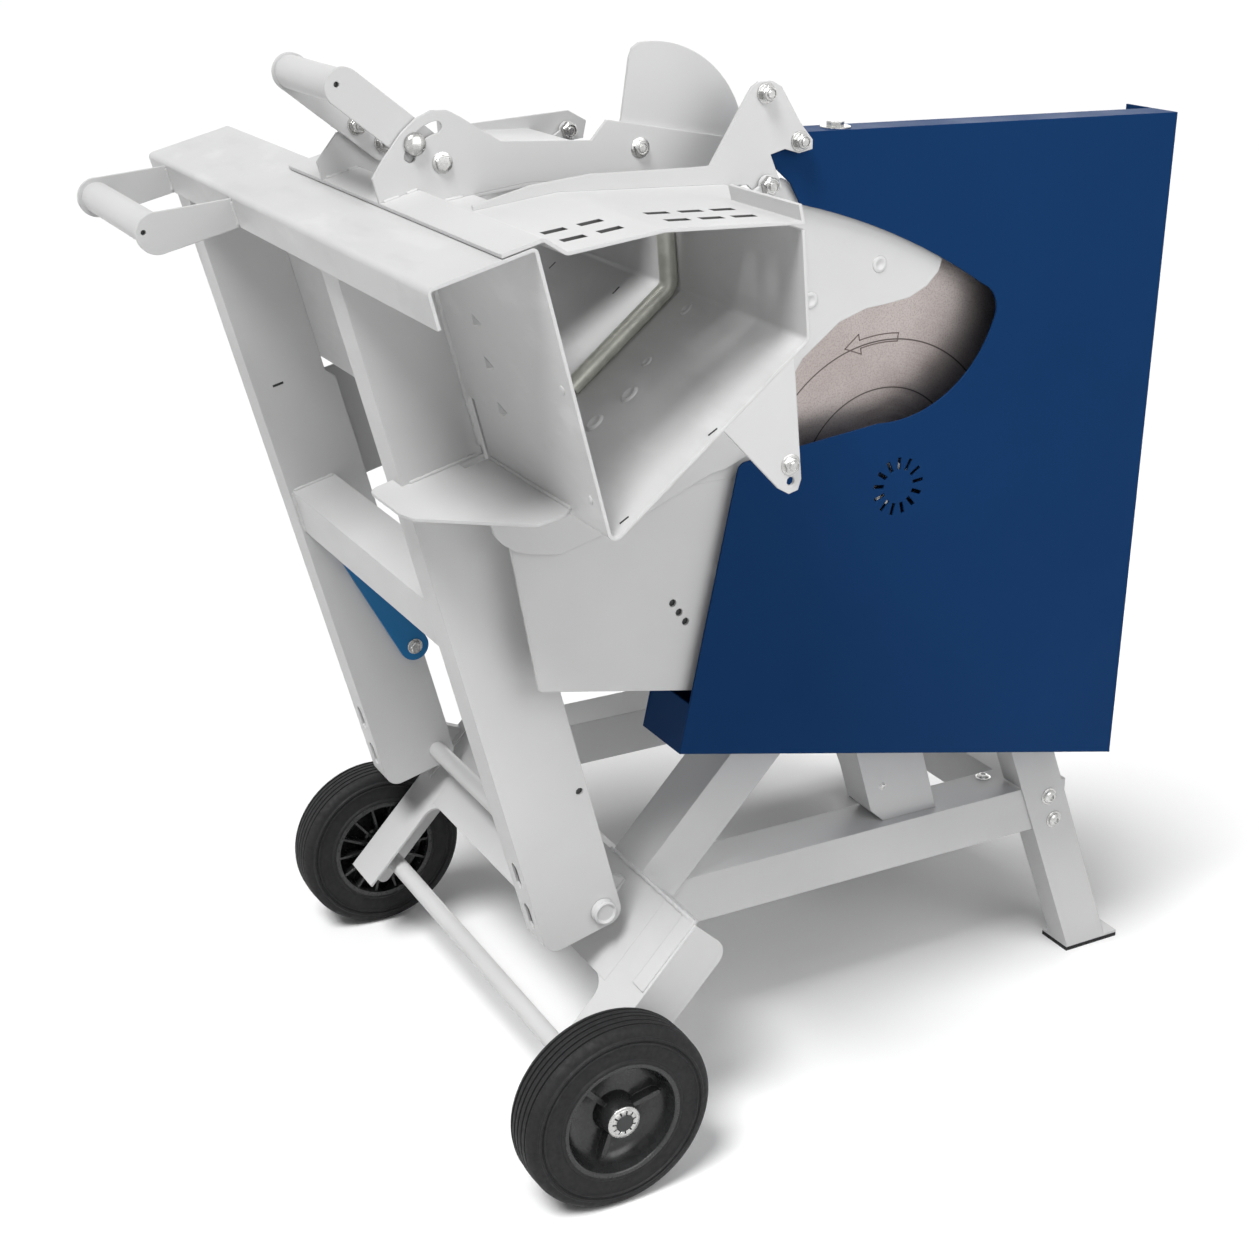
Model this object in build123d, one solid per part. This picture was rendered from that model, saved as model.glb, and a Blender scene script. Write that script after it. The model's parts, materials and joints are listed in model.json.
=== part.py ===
from build123d import *
import math
import os

os.makedirs("parts", exist_ok=True)

# Rocker log saw: a leaning trough holds the log and swings it against a covered circular blade.
# X runs along the log, Y from the operator to the blade, Z up. Millimetres and degrees.
# Points are Y and Z unless a comment says otherwise.

# Fits, gaps and stock
RUN = 0.05
SIDE_GAP = 0.5
PIN_GAP = 0.3
CUT = 1.0
WALL = 3.0
FLAT_BAR = 4.0
HEX_R = 8.0
HEX_HEAD = 6.0
HEX_LOW = 4.0
SMALL_HOLE_R = 4.0
TUBE_HOLE_R = 2.5
HOLE_SIDES = 8

# Wheels and axle
WHEEL_R = 100.0
WHEEL_WIDTH = 52.0
WHEEL_INNER_X = 283.0
TYRE_SHOULDER = 7.0
WHEEL_RIM_R = 62.0
WHEEL_RIM_WALL = 5.0
WHEEL_HUB_R = 17.0
WHEEL_WEB = (22.0, 27.0)
INNER_RIBS = 10
INNER_RIB = 3.0
OUTER_SPOKES = 3
OUTER_SPOKE = (9.0, 40.0)
SPOKE_TURN = -78.0
AXLE_R = 10.0
WASHER_R = 15.0
WASHER = 2.0

# Inclined lower frame, measured along and across its slope from the axle
AXLE_Z = WHEEL_R
INCLINE = 47.0
INCLINED_HALF = 26.5
ARM_X = (220.0, 280.0)
ARM_LOW = -35.0
ARM_END_ROUND = 8.0
ARM_TOP_ROUND = 18.0
ARM_CORNER = 20.0
CROSS_LOW = 87.0
CROSS_TOP = 189.0
STRUT_X = (105.0, 165.0)
STRUT_TOP = 474.0

# Floor beams, legs and post
BEAM_BOTTOM = AXLE_Z + 80.0
BEAM_TOP = AXLE_Z + 135.0
NEAR_BEAM_X = (105.0, 162.0)
FAR_BEAM_X = (-295.0, -235.0)
REAR_BEAM_Y = (608.0, 668.0)
LEG_LEAN = 21.2
LEG_FOOT_Y = 691.5
LEG_WIDTH = 57.0
LEG_FLANGE = 30.0
LEG_LAP_GAP = 2.0
NEAR_LEG_TOP = AXLE_Z + 350.0
FAR_LEG_TOP = AXLE_Z + 140.0
LEG_BOLTS = ((643.0, AXLE_Z + 119.0), (653.0, AXLE_Z + 87.0))
PAD_HEIGHT = 5.0
FOOT_PLATE = 3.0
PAD_X = 45.0
PAD_Y = 76.0
POST_X = (105.0, 150.0)
POST_FOOT = (422.0, 493.0)
POST_KICK = (17.0, 16.0)
POST_HEAD = (310.0, 390.0)

# Rocker pivot and travel
PIVOT_Y = 48.0
PIVOT_Z = AXLE_Z + 150.0
PIVOT_R = 10.0
PIVOT_LUG_X = ((140.0, 150.0), (-276.0, -264.0))
PIVOT_LUG_R = 20.0
PIVOT_LUG_FLAT = 12.0
PIVOT_LUG_FOOT = 34.0
COLLAR_R = 13.0
COLLAR = 6.0
LEAN = 14.5

# Blade, arbor and motor; the outlines here are drawn from the blade axis
BLADE_Y = 349.0
BLADE_Z = AXLE_Z + 559.0
BLADE_R = 252.5
BLADE_X = (208.5, 211.5)
TEETH = 40
TOOTH_DEPTH = 12.0
TOOTH = ((0.45, 1.0), (1.0, 0.0), (1.03, 0.9))
ARBOR_R = 15.0
ARBOR_DEPTH = 45.0
FLANGE_R = 50.0
FLANGE_LENGTH = 6.0
ARBOR_BOLT_R = 24.0
ARBOR_BOLT = 14.0
MOTOR_R = 80.0
MOTOR_FLANGE_R = 95.0
MOTOR_FLANGE = 12.0
MOTOR_BACK_X = -40.0
FINS = 10
FIN_HALF_ANGLE = 2.0
FIN_ROOT = 4.0
FAN_BACK_X = -130.0
FAN_R = 86.0
FAN_BEVEL = 10.0
FAN_SLOTS = 6
FAN_SLOT = (8.0, 4.0)
FAN_SLOT_R = (28.0, 66.0)
MOTOR_PLATE = 6.0
MOTOR_PLATE_LINE = [(-91, -235), (-43, -271), (23, -207), (97, -99), (97, 97), (-97, 97), (-97, -99)]
MOTOR_FOOT_DROP = 94.0
MOTOR_FOOT_TOP = 60.0

# Switch box on the motor's side, drawn from the blade axis
SWITCH_X = (25.0, 105.0)
SWITCH_Y = (91.0, 151.0)
SWITCH_Z = (-49.0, 49.0)
SWITCH_NECK = (12.0, 15.0)
BUTTON_HALF = 11.0
BUTTON_Z = 22.0
BUTTON_TRAVEL = 3.0
BUTTON_SINK = 8.0
BUTTON_PROUD = 5.0
INLET_HALF = 21.0
INLET_LENGTH = 20.0
INLET_DEPTH = 15.0
INLET_PIN = (2.0, 5.0, 14.0)
INLET_PIN_R = 10.0

# Guard, drawn from the blade axis
GUARD_SHEET = 2.0
GUARD_X = (173.5, 245.0)
BACK_SHEET = 2.5
TOP_FLANGE_X = 209.0
COVER_TOP_LEFT = (-169.0, 344.0)
COVER_TOP_RIGHT = (309.0, 334.0)
COVER_LOW_RIGHT = (304.0, -352.0)
COVER_LOW_LEFT = (-240.0, -232.0)
COVER_LEFT_TOP = (-180.0, 49.0)
COVER_TAB_TOP = (-229.0, -183.0)
COVER_STEP = [(-134, 300), (-157, 320)]
COVER_ROUND = 10.0
FRONT_BITE = [(-26, 66), (66, 96), (102, 150), (101, 176)]
FRONT_BITE_R = 712.0
FRONT_BITE_TURN = (33, 24, 14.5)
BACK_TOP_DROP = 25.0
BACK_BITE = [(-49, 76), (51, 116), (106, 171), (128, 205)]
VENT_SLOTS = 13
VENT_R = (17.0, 29.0)
VENT_HALF = 2.0
TOP_BOLT_Y = -77.0
TOP_BOLT_INSET = 18.0
PANEL_X = (229.5, 232.5)
PANEL_LINE = [(-380, -143), (-190, -180), (-150, 33), (-412, 28)]
PANEL_HOLES = ((-242.0, -81.0), (-235.0, -91.5), (-228.0, -102.0))
PANEL_SPACERS = ((-199.0, -159.0), (-189.0, -59.0))
LEG_SPACER_Z = (AXLE_Z + 260.0, AXLE_Z + 330.0)

# Rocker, drawn from its pivot with the legs upright
LEG_X = (160.0, 200.0)
FAR_LEG_X = (-260.0, -220.0)
ROCKER_SHEET = 2.5
LEG_BACK = -68.0
LEG_FRONT = 20.0
LEG_LOW = -20.0
LEG_ROUND = 16.0
LEG_STEP = (22.0, 10.0)
LEG_HOLE_Z = (20.0, 70.0)
LEG_HOLE = (12.0, 30.0)
LEG_HOLE_CORNER = 4.0
FAR_FLANGE_Y = 70.0
FAR_FLANGE_Z = (340.0, 470.0)
BUSH_R = 14.0
MID_BEAM_Y = (-64.0, -14.0)
MID_BEAM_Z = (318.0, 368.0)
TROUGH_X = (-290.0, 436.0)
RIM_Z = 737.0
RIM_BACK = -77.0
RIM_DROP = 32.0
INNER_WALL_Y = 14.0
VALLEY_Z = 492.0
FLOOR_EDGE = (218.0, 586.0)
OUTER_WALL_TOP = (232.0, 672.0)
OUTER_WALL_LOW = 655.0
BEND = 5.0
BLADE_SLOT = (203.0, 217.0)
BLADE_SLOT_WALL = 68.0
BLADE_SLOT_FLOOR = 40.0
GUSSET_RISE = 9.0
GUSSET_LINE = [(178, -92), (250, -92), (270, -88), (376, -22), (380, INNER_WALL_Y - WALL)]
GUSSET_ROUND = 10.0
END_BRACKET_LINE = [(128, 543), (166, 474), (174, 466), (183, 466), (188, 474), (204, 578)]
END_BOLT = (181.0, 490.0)
END_HOLE = (178.0, 476.0)
LOG_ROD_R = 8.0
LOG_ROD_X = 227.0
LOG_ROD_TOP = 0.65
LOG_ROD_FOOT = 0.42
LOG_ROD_BEND = 14.0
SHIELD_X = (236.0, 239.0)
SHIELD_RIGHT = [(336, 649), (349, 638), (362, 624), (419, 583), (456, 553), (483, 528), (487, 519)]
SHIELD_RIGHT += [(481, 509), (466, 500), (445, 496), (420, 499), (397, 503), (366, 501)]
SHIELD_LOW = [(321, 482), (242, 414), (219, 411), (205, 413), (120, 401), (41, 401), (14, 413), (1, 422)]
SHIELD_LEFT = [(-8, 433), (-13, 444)]

# Lid over the trough, in the rocker's frame
LID_X = (-136.0, TROUGH_X[1])
LID_FRONT_X = -27.0
LID_TAIL_Y = 200.0
LID_EDGE_Y = -15.0
LID_RISE = 4.0
LID_STEP = (21.0, 36.0, 725.0)
LID_BEND = (117.0, 714.0)
LID_LOW = (231.0, 680.0)
LID_END_Y = 270.0
LID_WEB_END_Y = 292.0
LID_SLOT_X = (199.0, 251.0)
LID_SLOT_Y = 66.0
LID_LIP_X = 330.0
LID_LIP_Y = 236.0
LID_LIP_TOP = 692.0
LID_HOLES_X = (33.0, 66.0)
LID_HOLES_Y = (57.0, 88.0, 145.0, 174.0, 202.0)
LID_HOLE = (10.0, 20.0)
LID_HINGE = (309.0, 655.0)
HINGE_R = 5.0
HINGE_EYE_R = 8.5
HINGE_BRACKET_LINE = [(222, 600), (233, 663), (292, 654), (312, 660), (312, 646)]
BRACKET_GAP = 2.0
NEAR_WEB_LINE = [(42, 723), (42, 728), (96, 727), (151, 718), (244, 692), (260, 688), (309, 734), (315, 739)]
NEAR_WEB_LINE += [(322, 741), (335, 738), (343, 731), (355, 695), (364, 677), (362, 669), (348, 670)]
NEAR_WEB_LINE += [(335, 678), (320, 678), (325, 646), (303, 642)]
NEAR_WEB_BOLTS = ((327.0, 730.0), (351.0, 680.0))
FAR_WEB_LINE = [(LID_EDGE_Y, 762), (-1, 774), (20, 789), (35, 796), (50, 798), (63, 794), (72, 786), (88, 769)]
FAR_WEB_LINE += [(102, 755), (183, 729), (201, 741), (308, 691), (330, 670), (325, 644), (303, 642)]
FIN_LINE = [(330, 709), (311, 680), (204, 712), (216, 736), (236, 783), (241, 790), (248, 792.5)]
FIN_MIDDLE = (302.0, 766.0)
FIN_BOLT = (226.0, 708.0)
END_WEB_LINE = [(205, 694), (317, 672), (334, 656), (326, 640), (300, 644), (250, 673), (205, 687)]
EAR_X = (60.0, 63.0)
EAR_LINE = [(LID_EDGE_Y, 757), (10, 775), (47, 775), (62, 768), (72, 719)]
LID_HANDLE_PIVOT = (47.0, 755.0)
LID_TUBE = (-15.0, 837.0)
LID_TUBE_R = 14.0
HANDLE_END_R = 16.0
HANDLE_HOLE = (-20.0, 841.0)
ARM_GAP = 1.5
STUD = (28.0, 777.0)
STUD_R = 4.0
STUD_ROOM = 1.0
HANDLE_RANGE = (-45.0, 20.0)
HANDLE_SPARE = 2.0

# Push handle and lock lever on the rocker
PUSH_TUBE = (-150.5, 725.0)
PUSH_TUBE_R = 15.0
PUSH_ARM_R = 19.0
PUSH_HOLE = (-162.0, 730.0)
PUSH_X = (-236.0, -20.0)
LEVER_PIVOT = (11.0, 139.0)
LEVER_TIP = (-26.0, 292.0)
LEVER_END_R = 17.0


def box(x0, x1, y0, y1, z0, z1):
    return Pos((x0 + x1) / 2, (y0 + y1) / 2, (z0 + z1) / 2) * Box(x1 - x0, y1 - y0, z1 - z0)


def rod(y, z, radius, x0, x1):
    return Pos((x0 + x1) / 2, y, z) * Rot(0, 90, 0) * Cylinder(radius, x1 - x0)


def bore(y, z, radius, x0, x1):
    """Body that cuts a round hole through a piece between two X planes."""
    return rod(y, z, radius, x0 - CUT, x1 + CUT)


def punched(y, z, radius, x0, x1):
    """Body that cuts a small hole with few sides."""
    core = extrude(RegularPolygon(radius, HOLE_SIDES), amount=x1 - x0 + 2 * CUT)
    return Pos(x0 - CUT, y, z) * Rot(0, 90, 0) * core


def drawn(curves, x0, x1):
    """Solid between two X planes with the outline of these curves, drawn in Y and Z."""
    face = Plane.YZ * make_face(curves)
    return Pos(x0, 0, 0) * extrude(face, amount=x1 - x0, dir=(1, 0, 0))


def plate(points, x0, x1):
    return drawn(Polyline(*points, close=True).edges(), x0, x1)


def link(start, end, radius, x0, x1):
    """Bar with round ends from one point to another."""
    length = math.dist(start, end)
    tilt = math.degrees(math.atan2(end[1] - start[1], end[0] - start[0]))
    bar = box(x0, x1, 0, length, -radius, radius)
    bar += rod(0, 0, radius, x0, x1) + rod(length, 0, radius, x0, x1)
    return Pos(0, start[0], start[1]) * Rot(tilt, 0, 0) * bar


def folded(points, thickness, x0, x1):
    """Bent sheet whose material lies to the right of the drawn line."""
    line = FilletPolyline(*points, radius=BEND)
    return drawn(offset(line, amount=thickness, side=Side.RIGHT, closed=True).edges(), x0, x1)


def strip(start, end, thickness, x0, x1):
    """Flat wall along a line, its material to the right."""
    run = math.dist(start, end)
    across = ((end[1] - start[1]) / run * thickness, -(end[0] - start[0]) / run * thickness)
    inner = [(end[0] + across[0], end[1] + across[1]), (start[0] + across[0], start[1] + across[1])]
    return plate([start, end] + inner, x0, x1)


def beside(points, distance):
    """Corners of the line that runs parallel to these points, this far to the left."""
    lines = []
    for (y0, z0), (y1, z1) in zip(points, points[1:]):
        run = math.dist((y0, z0), (y1, z1))
        step = (-(z1 - z0) / run * distance, (y1 - y0) / run * distance)
        lines.append(((y0 + step[0], z0 + step[1]), (y1 + step[0], z1 + step[1])))
    corners = [lines[0][0]]
    for (a, b), (c, d) in zip(lines, lines[1:]):
        first = (b[0] - a[0], b[1] - a[1])
        second = (d[0] - c[0], d[1] - c[1])
        cross = first[0] * second[1] - first[1] * second[0]
        share = ((c[0] - a[0]) * second[1] - (c[1] - a[1]) * second[0]) / cross
        corners.append((a[0] + share * first[0], a[1] + share * first[1]))
    return corners + [lines[-1][1]]


def between(start, end, share):
    """Point at this share of the way from one point to another."""
    return start[0] + share * (end[0] - start[0]), start[1] + share * (end[1] - start[1])


def bolt(y, z, x, side, head=HEX_HEAD, radius=HEX_R):
    """Hexagon seated on the plane at x, standing out towards side."""
    return Pos(x, y, z) * Rot(0, 90 * side, 0) * extrude(RegularPolygon(radius, 6), amount=head)


def around(count, piece):
    """The piece repeated evenly about the X axis."""
    return [Rot(number * 360 / count, 0, 0) * piece for number in range(count)]


def slope_point(along, across):
    """Point of the inclined frame in Y and Z."""
    slope = math.radians(INCLINE)
    y = along * math.cos(slope) - across * math.sin(slope)
    return y, AXLE_Z + along * math.sin(slope) + across * math.cos(slope)


def swept(radius, angle):
    """Point in Y and Z at this radius from the rocker pivot and angle from upright."""
    turn = math.radians(angle)
    return PIVOT_Y + radius * math.sin(turn), PIVOT_Z + radius * math.cos(turn)


def from_blade(points):
    return [(BLADE_Y + y, BLADE_Z + z) for y, z in points]


AXLE = Pos(0, 0, AXLE_Z)
SLOPE = AXLE * Rot(INCLINE, 0, 0)
BLADE = Pos(0, BLADE_Y, BLADE_Z)
ROCKER = Pos(0, PIVOT_Y, PIVOT_Z) * Rot(LEAN, 0, 0)
pieces = {}


def keep(name, solid, place=Pos(0, 0, 0)):
    pieces[name] = place * solid


def keep_group(name, solids, place=Pos(0, 0, 0)):
    pieces[name] = place * Compound(children=solids)


# Wheels

def revolved(section):
    """Ring turned about X from points of X and radius."""
    return revolve(Plane.XZ * make_face(Polyline(*section, close=True)), axis=Axis.X)


def tyre():
    low = WHEEL_R - TYRE_SHOULDER
    section = [(0, WHEEL_RIM_R), (0, low), (TYRE_SHOULDER, WHEEL_R)]
    section += [(WHEEL_WIDTH - TYRE_SHOULDER, WHEEL_R), (WHEEL_WIDTH, low), (WHEEL_WIDTH, WHEEL_RIM_R)]
    return revolved(section)


def wheel_hub():
    """Moulded disc with ribs towards the machine and three spokes outside."""
    web_in, web_out = WHEEL_WEB
    hole = AXLE_R + RUN
    rim = WHEEL_RIM_R - WHEEL_RIM_WALL
    section = [(0, hole), (0, WHEEL_HUB_R), (web_in, WHEEL_HUB_R), (web_in, rim), (0, rim)]
    section += [(0, WHEEL_RIM_R), (WHEEL_WIDTH, WHEEL_RIM_R), (WHEEL_WIDTH, rim), (web_out, rim)]
    section += [(web_out, WHEEL_HUB_R), (WHEEL_WIDTH, WHEEL_HUB_R), (WHEEL_WIDTH, hole)]
    reach = (WHEEL_HUB_R - CUT, rim + CUT)
    rib = box(WALL, web_in + CUT, -INNER_RIB / 2, INNER_RIB / 2, *reach)
    half_spoke = OUTER_SPOKE[0] / 2
    spoke = box(web_out - CUT, OUTER_SPOKE[1], -half_spoke, half_spoke, *reach)
    spokes = [Rot(SPOKE_TURN, 0, 0) * piece for piece in around(OUTER_SPOKES, spoke)]
    return revolved(section) + around(INNER_RIBS, rib) + spokes


def wheel_axle():
    """Axle with a push-on washer outside each wheel."""
    washer_x = WHEEL_INNER_X + WHEEL_WIDTH + SIDE_GAP
    tip = washer_x + WASHER + CUT
    near_washer = rod(0, 0, WASHER_R, washer_x, washer_x + WASHER)
    return rod(0, 0, AXLE_R, -tip, tip) + near_washer + mirror(near_washer, about=Plane.YZ)


near_wheel = AXLE * Pos(WHEEL_INNER_X, 0, 0)
near_tyre = near_wheel * tyre()
near_hub = near_wheel * wheel_hub()
keep("near_tyre", near_tyre)
keep("far_tyre", mirror(near_tyre, about=Plane.YZ))
keep("near_wheel_hub", near_hub)
keep("far_wheel_hub", mirror(near_hub, about=Plane.YZ))
keep("wheel_axle", wheel_axle(), AXLE)


# Lower frame

def wheel_arm():
    """Angle section: a top plate with a rounded inner corner and a side plate that holds the axle."""
    inside, outside = ARM_X
    half = INCLINED_HALF
    side_x = (outside - WALL, outside)
    side = plate([(ARM_LOW, -half), (CROSS_TOP, -half), (CROSS_TOP, half), (ARM_LOW, half)], *side_x)
    side = fillet(side.edges().filter_by(Axis.X).group_by(Axis.Z)[0].sort_by(Axis.Y)[-1], ARM_TOP_ROUND)
    side = fillet(side.edges().filter_by(Axis.X).group_by(Axis.Z)[0].sort_by(Axis.Y)[0], ARM_END_ROUND)
    near_corner = (inside - ARM_CORNER, CROSS_LOW)
    far_corner = (inside, CROSS_LOW - ARM_CORNER)
    bulge = ARM_CORNER * (1 - math.sqrt(0.5))
    edge = [near_corner, (inside, CROSS_LOW), (inside, CROSS_TOP), (outside, CROSS_TOP)]
    outline = Polyline(*edge, (outside, ARM_LOW), (inside, ARM_LOW), far_corner).edges()
    outline += ThreePointArc(far_corner, (inside - bulge, CROSS_LOW - bulge), near_corner).edges()
    top = Pos(0, 0, half - WALL) * extrude(make_face(outline), amount=WALL)
    return top + side - bore(0, 0, AXLE_R, *side_x)


def square_tube(x, y, z, along):
    """Tube between these spans, open at its ends along X or Y."""
    inner = {"x": (-CUT, WALL), "y": (WALL, -CUT)}[along]
    room_x = (x[0] + inner[0], x[1] - inner[0])
    room_y = (y[0] + inner[1], y[1] - inner[1])
    return box(*x, *y, *z) - box(*room_x, *room_y, z[0] + WALL, z[1] - WALL)


arm = SLOPE * wheel_arm()
keep("near_wheel_arm", arm)
keep("far_wheel_arm", mirror(arm, about=Plane.YZ))
across_span = (-INCLINED_HALF, INCLINED_HALF)
keep("front_cross_beam", square_tube((-ARM_X[0], ARM_X[0]), (CROSS_LOW, CROSS_TOP), across_span, "x"), SLOPE)
keep("inclined_strut", square_tube(STRUT_X, (CROSS_TOP, STRUT_TOP), across_span, "y"), SLOPE)


def on_lower_face(z):
    """Point on the inclined frame's lower face at this height."""
    y, height = slope_point(0, -INCLINED_HALF)
    return y + (z - height) / math.tan(math.radians(INCLINE)), z


def long_beam(x0, x1):
    """Inverted channel from the inclined frame back to the rear cross beam."""
    end = REAR_BEAM_Y[1]
    side = [on_lower_face(BEAM_BOTTOM), on_lower_face(BEAM_TOP), (end, BEAM_TOP), (end, BEAM_BOTTOM)]
    room = box(x0 + WALL, x1 - WALL, 0, end + CUT, BEAM_BOTTOM - CUT, BEAM_TOP - WALL)
    return plate(side, x0, x1) - room


keep("near_long_beam", long_beam(*NEAR_BEAM_X))
keep("far_long_beam", long_beam(*FAR_BEAM_X))
rear_x = (FAR_BEAM_X[1], NEAR_BEAM_X[0])
rear_y = (REAR_BEAM_Y[0] + WALL, REAR_BEAM_Y[1] - WALL)
rear_room = box(rear_x[0] - CUT, rear_x[1] + CUT, *rear_y, BEAM_BOTTOM - CUT, BEAM_TOP - WALL)
keep("rear_cross_beam", box(*rear_x, *REAR_BEAM_Y, BEAM_BOTTOM, BEAM_TOP) - rear_room)

FOOT_TOP = PAD_HEIGHT + FOOT_PLATE


def leg_point(z, shift):
    """Point of the leaning foot leg at this height, so far behind its front edge."""
    return LEG_FOOT_Y + shift - (z - FOOT_TOP) * math.tan(math.radians(LEG_LEAN)), z


def foot_leg(top):
    """Channel on a foot plate, its web on X = 0 to 3 and its flanges behind, open where it laps the beam."""
    def band(low, high, inset):
        front, back = inset, LEG_WIDTH - inset
        return [leg_point(low, front), leg_point(low, back), leg_point(high, back), leg_point(high, front)]

    leg = plate(band(FOOT_TOP, top, 0), -LEG_FLANGE, WALL)
    leg -= plate(band(FOOT_TOP, top, WALL), -LEG_FLANGE - CUT, 0)
    lap_end = LEG_FOOT_Y + LEG_WIDTH
    leg -= box(-LEG_FLANGE - CUT, 0, 0, lap_end, BEAM_BOTTOM - LEG_LAP_GAP, BEAM_TOP + LEG_LAP_GAP)
    return leg + box(WALL - PAD_X, WALL, LEG_FOOT_Y, LEG_FOOT_Y + PAD_Y, PAD_HEIGHT, FOOT_TOP)


near_leg_x = NEAR_BEAM_X[1]
far_leg_x = FAR_BEAM_X[0]
keep("near_foot_leg", foot_leg(NEAR_LEG_TOP), Pos(near_leg_x, 0, 0))
keep("far_foot_leg", mirror(foot_leg(FAR_LEG_TOP), about=Plane.YZ), Pos(far_leg_x, 0, 0))
near_pad_x = near_leg_x + WALL - PAD_X
far_pad_x = far_leg_x - WALL
pads = [box(x, x + PAD_X, LEG_FOOT_Y, LEG_FOOT_Y + PAD_Y, 0, PAD_HEIGHT) for x in (near_pad_x, far_pad_x)]
keep_group("foot_pads", pads)


def motor_post():
    """Channel open to the back, from the near long beam up to the motor."""
    top = BLADE_Z - MOTOR_FOOT_DROP
    kick = (POST_FOOT[0] - POST_KICK[0], BEAM_TOP + POST_KICK[1])
    front = [(POST_FOOT[0], BEAM_TOP), kick, (POST_HEAD[0], top)]
    room = [(y + WALL, z) for y, z in front] + [(REAR_BEAM_Y[0], top), (REAR_BEAM_Y[0], BEAM_TOP)]
    post = plate(front + [(POST_HEAD[1], top), (POST_FOOT[1], BEAM_TOP)], *POST_X)
    return post - plate(room, POST_X[0] + WALL, POST_X[1] - WALL)


keep("motor_post", motor_post())
frame_bolts = [bolt(y, z, near_leg_x + WALL, 1) for y, z in LEG_BOLTS]
frame_bolts += [bolt(y, z, far_leg_x - WALL, -1) for y, z in LEG_BOLTS]


# Rocker pivot on the inclined frame

def pivot_lug(x0, x1):
    slope = math.radians(INCLINE)
    rise = PIVOT_Z - AXLE_Z
    along = PIVOT_Y * math.cos(slope) + rise * math.sin(slope)
    across = rise * math.cos(slope) - PIVOT_Y * math.sin(slope)
    foot, wide, flat = PIVOT_LUG_FOOT, PIVOT_LUG_R, PIVOT_LUG_FLAT
    line = [(along - foot, INCLINED_HALF), (along + foot, INCLINED_HALF), (along + wide, across)]
    line += [(along + flat, across + wide), (along - flat, across + wide), (along - wide, across)]
    return plate(line, x0, x1) - bore(along, across, PIVOT_R, x0, x1)


keep_group("pivot_lugs", [pivot_lug(*span) for span in PIVOT_LUG_X], SLOPE)
near_collar = LEG_X[1] + SIDE_GAP
far_collar = PIVOT_LUG_X[1][0]
pivot = rod(PIVOT_Y, PIVOT_Z, PIVOT_R, far_collar, near_collar)
pivot += rod(PIVOT_Y, PIVOT_Z, COLLAR_R, near_collar, near_collar + COLLAR)
keep("pivot_shaft", pivot + rod(PIVOT_Y, PIVOT_Z, COLLAR_R, far_collar - COLLAR, far_collar))


# Motor, arbor and blade

def saw_blade():
    pitch = 2 * math.pi / TEETH
    outline = []
    for number in range(TEETH):
        for share, cut in TOOTH:
            angle = (number + share) * pitch
            radius = BLADE_R - cut * TOOTH_DEPTH
            outline.append((radius * math.cos(angle), radius * math.sin(angle)))
    return plate(outline, *BLADE_X) - bore(0, 0, ARBOR_R, *BLADE_X)


plate_x = (STRUT_X[1], STRUT_X[1] + MOTOR_PLATE)
flange_out = BLADE_X[1] + FLANGE_LENGTH
arbor = rod(0, 0, ARBOR_R, plate_x[0] - ARBOR_DEPTH, BLADE_X[1])
arbor += rod(0, 0, FLANGE_R, BLADE_X[0] - FLANGE_LENGTH, BLADE_X[0])
keep("saw_blade", saw_blade(), BLADE)
keep("arbor_shaft", arbor, BLADE)
keep("outer_blade_flange", rod(0, 0, FLANGE_R, BLADE_X[1], flange_out), BLADE)
keep("arbor_bolt", bolt(0, 0, flange_out, 1, ARBOR_BOLT, ARBOR_BOLT_R), BLADE)


def finned_outline():
    """Round of the motor with its cooling fins."""
    points = []
    for number in range(FINS):
        middle = (number + 0.5) * 360 / FINS
        spread = (-FIN_ROOT, -FIN_HALF_ANGLE, FIN_HALF_ANGLE, FIN_ROOT)
        for shift, radius in zip(spread, (MOTOR_R, FAN_R, FAN_R, MOTOR_R)):
            angle = math.radians(middle + shift)
            points.append((radius * math.cos(angle), radius * math.sin(angle)))
    return points


def motor_housing():
    neck_x, neck_z = SWITCH_NECK
    body = plate(finned_outline(), MOTOR_BACK_X, plate_x[0] - MOTOR_FLANGE)
    body += rod(0, 0, MOTOR_FLANGE_R, plate_x[0] - MOTOR_FLANGE, plate_x[0])
    head = (POST_HEAD[0] - BLADE_Y, POST_HEAD[1] - BLADE_Y)
    body += box(*POST_X, *head, -MOTOR_FOOT_DROP, -MOTOR_FOOT_TOP)
    neck = box(SWITCH_X[0] + neck_x, SWITCH_X[1] - neck_x, MOTOR_FOOT_TOP, SWITCH_Y[0],
               SWITCH_Z[0] + neck_z, SWITCH_Z[1] - neck_z)
    return body + neck - rod(0, 0, ARBOR_R + RUN, plate_x[0] - ARBOR_DEPTH - SIDE_GAP, plate_x[0] + CUT)


def fan_cover():
    cover = rod(0, 0, FAN_R, FAN_BACK_X, MOTOR_BACK_X)
    cover = chamfer(cover.edges().group_by(Axis.X)[0], FAN_BEVEL)
    half, depth = FAN_SLOT[0] / 2, FAN_SLOT[1]
    return cover - around(FAN_SLOTS, box(FAN_BACK_X - CUT, FAN_BACK_X + depth, -half, half, *FAN_SLOT_R))


keep("motor_housing", motor_housing(), BLADE)
keep("motor_fan_cover", fan_cover(), BLADE)
keep("motor_plate", plate(MOTOR_PLATE_LINE, *plate_x) - bore(0, 0, 2 * ARBOR_R, *plate_x), BLADE)

switch_middle = sum(SWITCH_X) / 2
switch_face = SWITCH_Y[1]


def button(z, gap, y0, y1):
    half = BUTTON_HALF + gap
    return box(switch_middle - half, switch_middle + half, y0, y1, z - half, z + half)


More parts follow.
